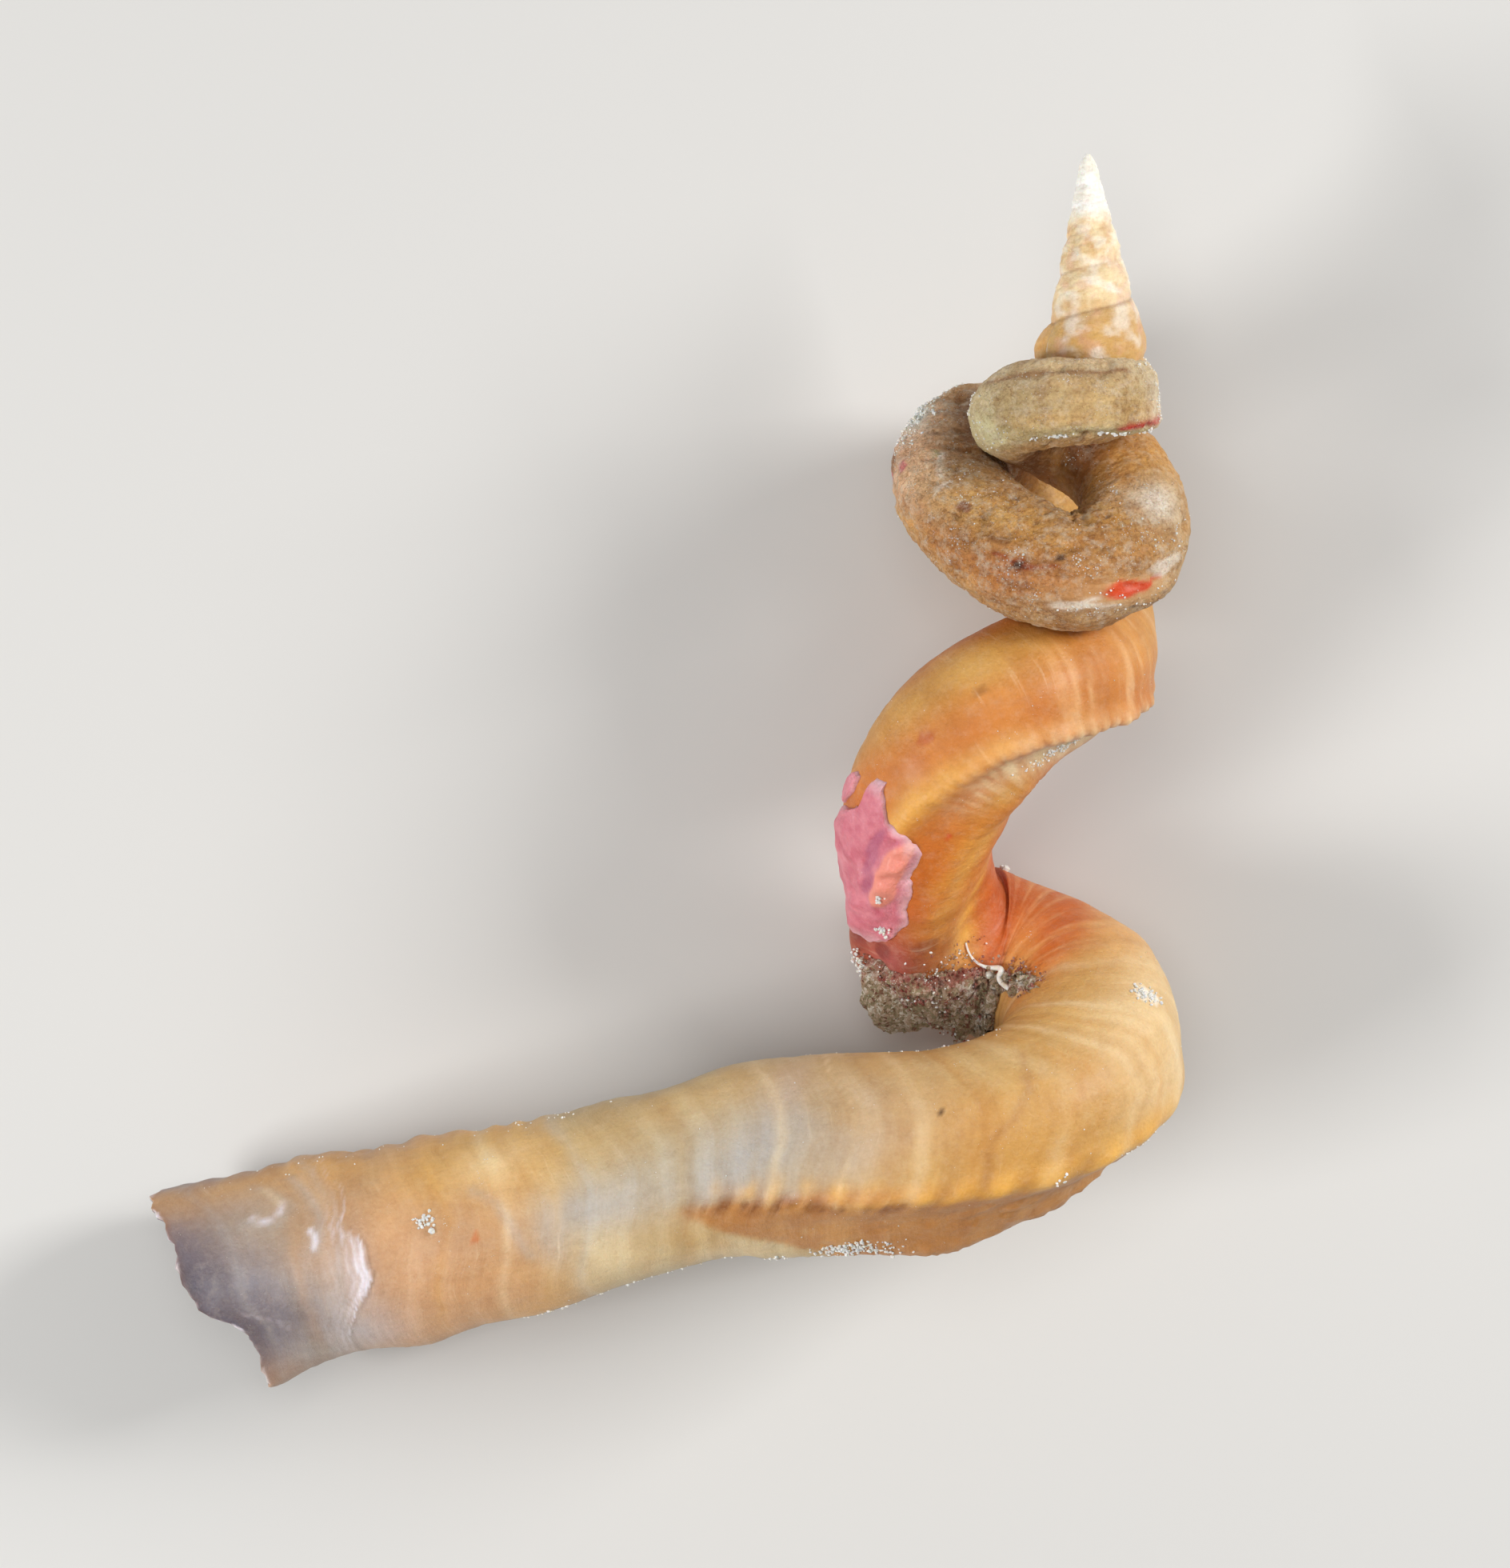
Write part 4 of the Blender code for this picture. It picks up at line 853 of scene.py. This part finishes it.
# Crumbs of white lime, in clusters
limeDust, into, out = makeGroup("limeDust", {"Place": "Vector", "Amount": "Float"}, {"Mask": "Float"})
cluster = calculate(limeDust, "ADD", noiseOf(limeDust, into["Place"], 0.8, 6, 0.7),
                    times(limeDust, into["Amount"], 0.14))
crumbs = []
for scale, low, high, most in ((7.0, 0.54, 0.86, 0.42), (3.0, 0.64, 0.92, 0.46)):
    reach = between(limeDust, cluster, low, high, 0, most)
    crumb = calculate(limeDust, "SUBTRACT", reach, cellsOf(limeDust, into["Place"], scale))
    crumbs.append(between(limeDust, crumb, 0, 0.05))
limeDust.links.new(calculate(limeDust, "MAXIMUM", *crumbs), out["Mask"])

# Cloudy changes of colour, from dark brown to pale
clouding, into, out = makeGroup("clouding", {"Colour": "Color", "Place": "Vector", "Scale": "Float",
                                             "Strength": "Float"}, {"Colour": "Color"})
cloud = noiseOf(clouding, into["Place"], into["Scale"], 8, 0.68)
shade = ramp(clouding, cloud, (0.30, (0.60, 0.42, 0.26, 1)), (0.70, (1.30, 1.38, 1.45, 1)),
             (0.5, (1.10, 1.08, 1.06, 1)))
clouding.links.new(mixed(clouding, into["Strength"], into["Colour"], shade, "MULTIPLY"), out["Colour"])

# Fine grain for bump
fineGrain, into, out = makeGroup("fineGrain", {"Place": "Vector", "Scale": "Float"}, {"Height": "Float"})
coarse = noiseOf(fineGrain, into["Place"], into["Scale"], 9, 0.68)
holes = between(fineGrain, cellsOf(fineGrain, into["Place"], into["Scale"]), 0, 0.3, 0.6, 1)
fineGrain.links.new(times(fineGrain, coarse, holes), out["Height"])


def newLook(name, roughness, subsurface, coat):
    look = bpy.data.materials.new(name)
    look.use_nodes = True
    tree = look.node_tree
    shader = tree.nodes["Principled BSDF"]
    values = {"Roughness": roughness, "Specular IOR Level": 0.35, "Coat Weight": coat,
              "Coat Roughness": 0.25, "Subsurface Weight": subsurface,
              "Subsurface Radius": (1.0, 0.45, 0.2), "Subsurface Scale": 0.9 * mm}
    for label, value in values.items():
        shader.inputs[label].default_value = value
    place = scaled(tree, addNode(tree, "TexCoord", {}).outputs["Object"], (1 / mm,) * 3)
    return look, tree, shader, place


def bumpFrom(tree, shader, height, distance):
    bump = addNode(tree, "Bump", {"Strength": 1, "Distance": distance * mm, "Height": height})
    tree.links.new(bump.outputs["Normal"], shader.inputs["Normal"])


def grainBump(tree, shader, place, scale, distance):
    bumpFrom(tree, shader, useGroup(tree, fineGrain, {"Place": place, "Scale": scale}), distance)


# The shell's look: bands and threads along its growth lines, and clouds and crumbs on the crusts
shellLook, tree, shader, place = newLook("shellLook", 0.38, 0.18, 0.08)
flat, tint = attribute(tree, "straight", "Vector"), attribute(tree, "tint", "Color")
rough = attribute(tree, "rough")
smoothness = calculate(tree, "SUBTRACT", 1.0, rough)
bands = noiseOf(tree, scaled(tree, flat, (0.8, 0.06, 0.06)), 1)
bandShade = ramp(tree, bands, (0.34, (0.86, 0.74, 0.56, 1)), (0.66, (1.10, 1.12, 1.12, 1)))
banded = mixed(tree, 0.6, tint, bandShade, "MULTIPLY")
threads = noiseOf(tree, scaled(tree, flat, (5.5, 0.22, 0.22)), 1)
threadShare = noiseOf(tree, scaled(tree, flat, (0.35, 0.3, 0.3)), 1, 2, 0.5)
pale = times(tree, between(tree, threads, 0.60, 0.74, 0, 0.3), between(tree, threadShare, 0.5, 0.68))
lined = mixed(tree, times(tree, pale, smoothness), banded, rgba(250, 226, 190))
fibres = noiseOf(tree, scaled(tree, flat, (0.5, 2.6, 2.6)), 1, 4, 0.6)
cloudy = mixed(tree, between(tree, rough, 0, 1, 0.05, 0.45), lined,
               between(tree, fibres, 0.3, 0.7, 0.7, 1.3), "MULTIPLY")
for scale, least, most in ((0.9, 0.10, 0.75), (5.5, 0.0, 0.95)):
    cloudy = useGroup(tree, clouding, {"Colour": cloudy, "Place": place, "Scale": scale,
                                       "Strength": between(tree, rough, 0, 1, least, most)})
veil = between(tree, noiseOf(tree, place, 1.7, 8, 0.75), 0.48, 0.66, 0, 0.6)
veiled = mixed(tree, times(tree, veil, rough), cloudy, rgba(238, 222, 196))
crumbs = useGroup(tree, limeDust, {"Place": place, "Amount": rough})
dusted = mixed(tree, times(tree, crumbs, 0.8), veiled, rgba(*paints["chalk"]))
dirt = between(tree, noiseOf(tree, place, 2.1, 7, 0.72), 0.62, 0.72, 0, 0.7)
soiled = mixed(tree, times(tree, dirt, rough), dusted, rgba(*paints["umber"]))
put(tree, shader.inputs["Base Color"], soiled)
put(tree, shader.inputs["Roughness"], between(tree, rough, 0, 1, 0.36, 0.66))
height = useGroup(tree, fineGrain, {"Place": place, "Scale": 3.2})
height = times(tree, height, between(tree, rough, 0, 1, 0.06, 2.6))
for value, share in ((threads, 0.14), (crumbs, 0.35)):
    height = calculate(tree, "ADD", height, times(tree, value, share))
bumpFrom(tree, shader, height, 0.16)
shell.data.materials.clear()
shell.data.materials.append(shellLook)
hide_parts("shell")
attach(shell, "root")


# Crusts on the third coil: a grid bent over the tube, with an uneven edge and lumps
crustSettings = {"edge": 4, "rounding": 2.2, "sink": 0.1, "angleWander": 14, "back": 0.3}


def alongRows(table, share):
    # a smooth curve through one column of a crust's rows
    count = len(table)
    place = np.clip(share * (count - 1), 0, count - 1.0001)
    i = place.astype(int)
    t = place - i
    a, b, c, d = (table[np.clip(i + k, 0, count - 1)] for k in (-1, 0, 1, 2))
    return b + 0.5 * t * (c - a + t * (2 * a - 5 * b + 4 * c - d + t * (3 * (b - c) + d - a)))


def facesInward(sheet, s, a):
    i = len(s) // 2
    out = Vector((shellPoint(s[i], a[i], 1) - shellPoint(s[i], a[i]))[0])
    return sheet.data.vertices[i].normal.dot(out) < 0


def crustSheet(name, rows, lumps, columns, lines, thick, seed, edgeWander, bumps, grain=1.0):
    bpy.ops.object.select_all(action="DESELECT")
    bpy.ops.mesh.primitive_grid_add(x_subdivisions=columns, y_subdivisions=lines, size=2)
    sheet = bpy.context.object
    sheet.name = sheet.data.name = name
    flat = np.zeros(len(sheet.data.vertices) * 3)
    sheet.data.vertices.foreach_get("co", flat)
    across, down = (flat.reshape(-1, 3)[:, i] * 0.5 + 0.5 for i in (0, 1))
    table = np.array(rows, float)
    near, nearAngle, far, farAngle = (alongRows(table[:, i], down) for i in range(4))
    s, a = near + (far - near) * across, nearAngle + (farAngle - nearAngle) * across
    border = np.minimum(np.minimum(across, 1 - across), np.minimum(down, 1 - down))
    border = np.clip(crustSettings["edge"] * border, 0, 1)
    spots = straight(s, a)
    wander = edgeWander * (1 - border)
    s = s + wander * field(spots, 0.8, seed, 3)
    a = a + crustSettings["angleWander"] * wander * field(spots, 0.8, seed + 1, 3)
    rise = np.sqrt(np.clip(border * crustSettings["rounding"], 0, 1))
    lift = rise * (thick + crustSettings["sink"] + bumps * field(spots, grain, seed + 2, 5))
    lift -= crustSettings["sink"]
    mound = 0 * s
    for place, side, reach, width, height in lumps:
        near = spot(s, a, place, side, reach, width)
        lift += height * np.clip(near * 1.8 - 0.35, 0, 1)
        mound += np.clip(near * 3 - 1, 0, 1) * ((height >= 0.3) - (height < 0))
    placeVertices(sheet, shellPoint(s, a, lift))
    if facesInward(sheet, s, a):
        sheet.data.flip_normals()
    for label, values in (("rim", 1 - border), ("mound", mound), ("across", across)):
        setAttribute(sheet, label, values)
    back = sheet.modifiers.new("back", "SOLIDIFY")
    back.thickness, back.offset = crustSettings["back"] * mm, -1
    bpy.context.view_layer.objects.active = sheet
    bpy.ops.object.modifier_apply(modifier="back")
    return sheet


pinkSettings = {
    "rows": [(75.9, 0, 75.9, 6), (76.6, 0, 76.3, 14), (77.3, 2, 76.7, 23), (77.9, -10, 77.0, 33),
             (78.5, -20, 77.3, 50), (79.3, -22, 77.8, 64), (80.2, -19, 78.8, 70), (81.2, -11, 80.0, 75),
             (82.2, 1, 81.2, 78), (83.0, 16, 82.5, 82), (83.8, 31, 83.6, 80), (84.5, 46, 84.4, 66)],
    "lumps": [(78.2, 51, 0.6, 6.5, 0.30), (79.2, 53, 0.7, 7, 0.36), (80.4, 56, 0.7, 7, 0.34),
              (79.2, 6, 0.9, 14, 0.2), (82.4, 52, 1.0, 12, 0.15), (78.0, 31, 0.7, 3.5, -0.10),
              (79.0, 36, 0.7, 3.5, -0.12), (80.2, 42, 0.7, 3.5, -0.10)],
}
chipSettings = {"rows": [(76.5, -23, 76.5, -18), (77.0, -28, 76.8, -15), (77.4, -29, 77.3, -13),
                         (77.9, -26, 77.7, -15), (78.2, -22, 78.2, -17)]}
gritSettings = {
    "rows": [(86.2, 50, 87.4, 50), (85.6, 58, 88.3, 58), (85.3, 67, 88.6, 66), (85.4, 76, 88.8, 76),
             (85.5, 90, 89.0, 92), (85.8, 104, 90.0, 108), (86.3, 118, 91.3, 124),
             (86.8, 132, 92.3, 138), (87.3, 146, 92.4, 154), (88.0, 160, 92.8, 172)],
    "lumps": [(87.6, 62, 0.9, 10, 0.9), (88.3, 76, 0.9, 12, 0.4)],
    "crevice": [(93.6, -196, 95.8, -165), (94.9, -186, 96.9, -151), (96.3, -172, 98.3, -136),
                (97.8, -156, 99.4, -124), (99.2, -140, 100.3, -113)],
}
pink = crustSheet("pinkCrust", pinkSettings["rows"], pinkSettings["lumps"], 64, 100, 0.34, 31, 0.35, 0.10)
chip = crustSheet("pinkChip", chipSettings["rows"], [], 20, 26, 0.26, 35, 0.12, 0.06)
grit = crustSheet("gritCrust", gritSettings["rows"], gritSettings["lumps"], 70, 130, 0.42, 41, 0.5, 0.42, 1.6)
crevice = crustSheet("creviceGrit", gritSettings["crevice"], [], 40, 90, 0.22, 45, 0.4, 0.36, 1.6)
joinInto(grit, crevice)

pinkLook, tree, shader, place = newLook("pinkLook", 0.42, 0.25, 0.2)
rim, mound = attribute(tree, "rim"), attribute(tree, "mound")
base = ramp(tree, noiseOf(tree, place, 0.9, 6, 0.6), (0.3, rgba(202, 92, 112)),
            (0.72, rgba(238, 150, 160)))
grooved = mixed(tree, between(tree, mound, 0, -1, 0, 0.45), base, rgba(160, 84, 122))
salmon = mixed(tree, between(tree, mound, 0, 0.6, 0, 0.95), grooved, rgba(252, 152, 132))
edged = mixed(tree, between(tree, rim, 0.55, 1.0, 0, 0.6), salmon, rgba(250, 216, 218))
specks = times(tree, useGroup(tree, limeDust, {"Place": place, "Amount": 0.1}), 0.7)
put(tree, shader.inputs["Base Color"], mixed(tree, specks, edged, rgba(252, 240, 236)))
grainBump(tree, shader, place, 2.4, 0.16)

gritLook, tree, shader, place = newLook("gritLook", 0.8, 0.05, 0.0)
sand = times(tree, cellsOf(tree, place, 6.5, "Color"), 0.26)
tone = calculate(tree, "ADD", sand, times(tree, noiseOf(tree, place, 1.1, 9, 0.72), 0.78))
base = ramp(tree, tone, (0.30, rgba(88, 54, 38)), (0.66, rgba(242, 234, 216)),
            (0.38, rgba(138, 92, 72)), (0.46, rgba(158, 148, 112)), (0.55, rgba(196, 166, 138)))
rosy = times(tree, between(tree, attribute(tree, "across"), 0.02, 0.42, 1, 0),
             between(tree, noiseOf(tree, place, 1.6, 6, 0.7), 0.40, 0.56))
topped = mixed(tree, times(tree, rosy, 0.75), base, rgba(170, 74, 70))
specks = times(tree, useGroup(tree, limeDust, {"Place": place, "Amount": 1}), 0.85)
put(tree, shader.inputs["Base Color"], mixed(tree, specks, topped, rgba(236, 232, 218)))
grainBump(tree, shader, place, 4.5, 0.35)

for piece, look, node, slot in ((pink, pinkLook, "pink_algae_crust", "pink_algae_crust"),
                                (chip, pinkLook, "pink_algae_chip", "pink_algae_crust"),
                                (grit, gritLook, "grit_crust", "grit_crust")):
    piece.data.materials.clear()
    piece.data.materials.append(look)
    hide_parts(node)
    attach(piece, "root")
print("crusts ready")

# The small worm's tube
wormSettings = {
    # places seen from above, in millimetres, with the tube's radius there and its lift off the shell
    "places": [(14.95, -8.30, 0.05, 0.06), (15.05, -8.75, 0.05, 0.07), (15.35, -9.20, 0.06, 0.10),
               (15.85, -9.48, 0.08, 0.16), (16.35, -9.55, 0.12, 0.22), (16.85, -9.60, 0.15, 0.30),
               (17.05, -9.85, 0.16, 0.34), (16.80, -10.10, 0.15, 0.30),
               (16.95, -10.40, 0.15, 0.25), (17.30, -10.65, 0.12, 0.20)],
    "beadRadius": 0.22, "beadPlace": (16.25, -9.90, 0.22), "weld": 0.001,
}


def dropOnShell(x, y, lift):
    # the shell's surface under a place seen from above
    hit, spot, normal, face = shell.ray_cast(Vector((x, y, 60)) * mm, Vector((0, 0, -1)))
    return spot + normal * lift * mm


bpy.ops.object.select_all(action="DESELECT")
bpy.ops.curve.primitive_nurbs_path_add()
worm = bpy.context.object
worm.name = worm.data.name = "wormTube"
worm.data.splines.clear()
line = worm.data.splines.new("NURBS")
line.points.add(len(wormSettings["places"]) - 1)
for i, (x, y, radius, lift) in enumerate(wormSettings["places"]):
    line.points[i].co = (*dropOnShell(x, y, lift), 1)
    line.points[i].radius = radius
line.use_endpoint_u = True
line.order_u = 4
line.resolution_u = 10
worm.data.bevel_depth = mm
worm.data.bevel_resolution = 4
worm.data.use_fill_caps = True
bpy.ops.object.convert(target="MESH")
worm = bpy.context.object
faceOutward(worm, wormSettings["weld"])
limeLook, tree, shader, place = newLook("limeLook", 0.5, 0.3, 0.1)
put(tree, shader.inputs["Base Color"], ramp(tree, noiseOf(tree, place, 2, 6, 0.6),
                                            (0.3, rgba(232, 222, 202)), (0.6, rgba(255, 251, 242))))
grainBump(tree, shader, place, 5.0, 0.1)
worm.data.materials.clear()
worm.data.materials.append(limeLook)
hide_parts("worm_tube")
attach(worm, "root")

# Grains: one rough ball, repeated in clusters and joined in one mesh
grainSettings = {"roughness": 0.5, "sizes": (0.45, 1.25), "stretch": (0.7, 1.2), "lipClear": 0.5,
                 "rise": 0.3}
grainClusters = {
    "whiteGrains": [     # place along, angle, reach along, width round, count, size, lift
        (9.5, 54, 0.18, 2.5, 14, 0.09), (10.3, 55, 0.15, 2.5, 12, 0.09), (11.9, 56, 0.22, 2.5, 20, 0.08),
        (12.8, 56, 0.15, 2, 8, 0.07), (8.5, 46, 0.15, 3, 8, 0.09), (80.6, 56, 0.1, 1.5, 12, 0.1, 0.72),
        (83, 68, 0.14, 3, 22, 0.09, 0.4), (86.4, 47, 0.7, 2.5, 60, 0.09, 0.15),
        (87.3, 90, 1, 26, 90, 0.06, 0.45), (86.2, 92, 0.25, 22, 60, 0.06, 0.1),
        (15.4, -10, 0.4, 14, 26, 0.05), (7.4, -50, 0.4, 12, 20, 0.07), (14.6, 40, 0.8, 12, 26, 0.05),
        (45, -56, 0.4, 10, 100, 0.1), (43.6, -48, 0.5, 8, 40, 0.07), (7.8, 6, 0.2, 20, 50, 0.05),
        (46.4, -66, 0.6, 10, 40, 0.07), (28.8, -20, 0.8, 14, 30, 0.05), (31.4, 40, 1, 12, 34, 0.05),
        (69.4, 66, 0.6, 2.5, 70, 0.06), (71, 71, 0.5, 3, 30, 0.05), (85.8, 120, 0.4, 20, 22, 0.06),
        (101.6, 50, 1, 6, 30, 0.07), (103.4, 40, 0.4, 3, 14, 0.06), (114.6, 82, 0.9, 4.5, 150, 0.09),
        (116, 84, 0.5, 3, 50, 0.08), (119.4, 92, 0.4, 3, 18, 0.09), (135.7, -14, 0.24, 2.2, 30, 0.09),
        (135.4, -6, 0.05, 0.6, 3, 0.14), (99.9, -43, 0.18, 5.5, 60, 0.09), (127, 86, 2.4, 3, 22, 0.07),
        (131.5, 88, 1.6, 3, 20, 0.07), (106.4, 36, 0.15, 2, 8, 0.08), (140.2, -74, 4, 6, 24, 0.04),
        (130, -80, 3, 5, 20, 0.05), (112, -96, 4, 5, 30, 0.05), (120, 0, 9, 40, 40, 0.03),
        (104, 0, 5, 40, 30, 0.03), (70, 0, 5, 40, 24, 0.03), (89.6, -100, 0.12, 2, 6, 0.18),
        (36, 0, 6, 50, 60, 0.035),
    ],
    "gritGrains": [
        (87.6, 64, 0.7, 8, 160, 0.1, 0.4), (87.2, 92, 0.8, 14, 200, 0.09, 0.36),
        (88, 124, 0.8, 16, 180, 0.09, 0.36), (89.4, 150, 0.8, 12, 90, 0.09, 0.3),
        (88.6, 80, 0.3, 14, 120, 0.09, 0.2), (85.9, 60, 0.25, 6, 50, 0.08, 0.05),
        (95.6, -166, 0.3, 4, 50, 0.07, 0.12), (97, -152, 0.3, 4, 60, 0.07, 0.12),
        (98.4, -138, 0.3, 4, 60, 0.07, 0.12), (99.6, -124, 0.3, 4, 50, 0.06, 0.08),
        (86, 110, 0.3, 24, 70, 0.06, 0.15),
    ],
}
bpy.ops.object.select_all(action="DESELECT")
bpy.ops.mesh.primitive_ico_sphere_add(subdivisions=1, radius=1)
seedGrain = bpy.context.object
grainPoints = np.array([v.co for v in seedGrain.data.vertices])
grainPoints *= (1 + grainSettings["roughness"] * field(grainPoints, 1.3, 51))[:, None]
grainFaces = np.array([f.vertices[:] for f in seedGrain.data.polygons])
bpy.data.objects.remove(seedGrain)


def scatter(name, clusters, look):
    chance = np.random.default_rng(len(name))
    points, faces = [], []
    for place, side, reach, width, count, size, *more in clusters:
        for i in range(count):
            s, a = chance.normal(place, reach), chance.normal(side, width)
            s = min(s, float(lipEnd(a)) - grainSettings["lipClear"])
            scale = size * chance.uniform(*grainSettings["sizes"])
            scale = scale * chance.uniform(*grainSettings["stretch"], 3)
            turn = np.linalg.qr(chance.normal(size=(3, 3)))[0]
            turn *= np.sign(np.linalg.det(turn))
            foot = shellPoint(s, a, sum(more) + grainSettings["rise"] * size)[0]
            faces.append(grainFaces + len(points) * len(grainPoints))
            points.append((grainPoints * scale) @ turn + foot)
    mesh = bpy.data.meshes.new(name)
    mesh.from_pydata(np.vstack(points) * mm, [], np.vstack(faces).tolist())
    grains = bpy.data.objects.new(name, mesh)
    bpy.context.scene.collection.objects.link(grains)
    mesh.materials.append(look)
    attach(grains, "root")


scatter("whiteGrains", grainClusters["whiteGrains"], limeLook)
scatter("gritGrains", grainClusters["gritGrains"], gritLook)

# The glassy bead on the worm's tube
bpy.ops.object.select_all(action="DESELECT")
bpy.ops.mesh.primitive_uv_sphere_add(segments=32, ring_count=16,
                                     radius=wormSettings["beadRadius"] * mm,
                                     location=dropOnShell(*wormSettings["beadPlace"]))
bead = bpy.context.object
bead.name = bead.data.name = "glassyBead"
bpy.ops.object.transform_apply(location=True, rotation=False, scale=False)
bpy.ops.object.shade_smooth()
beadLook, tree, shader, place = newLook("beadLook", 0.08, 0.4, 1.0)
put(tree, shader.inputs["Base Color"], mixed(tree, noiseOf(tree, place, 3), rgba(170, 160, 140),
                                             rgba(236, 234, 226)))
bead.data.materials.append(beadLook)
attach(bead, "root")
print("grains ready")

for piece in (shell, pink, chip, grit, worm):
    print(piece.name, sum(len(face.vertices) - 2 for face in piece.data.polygons), "triangles")
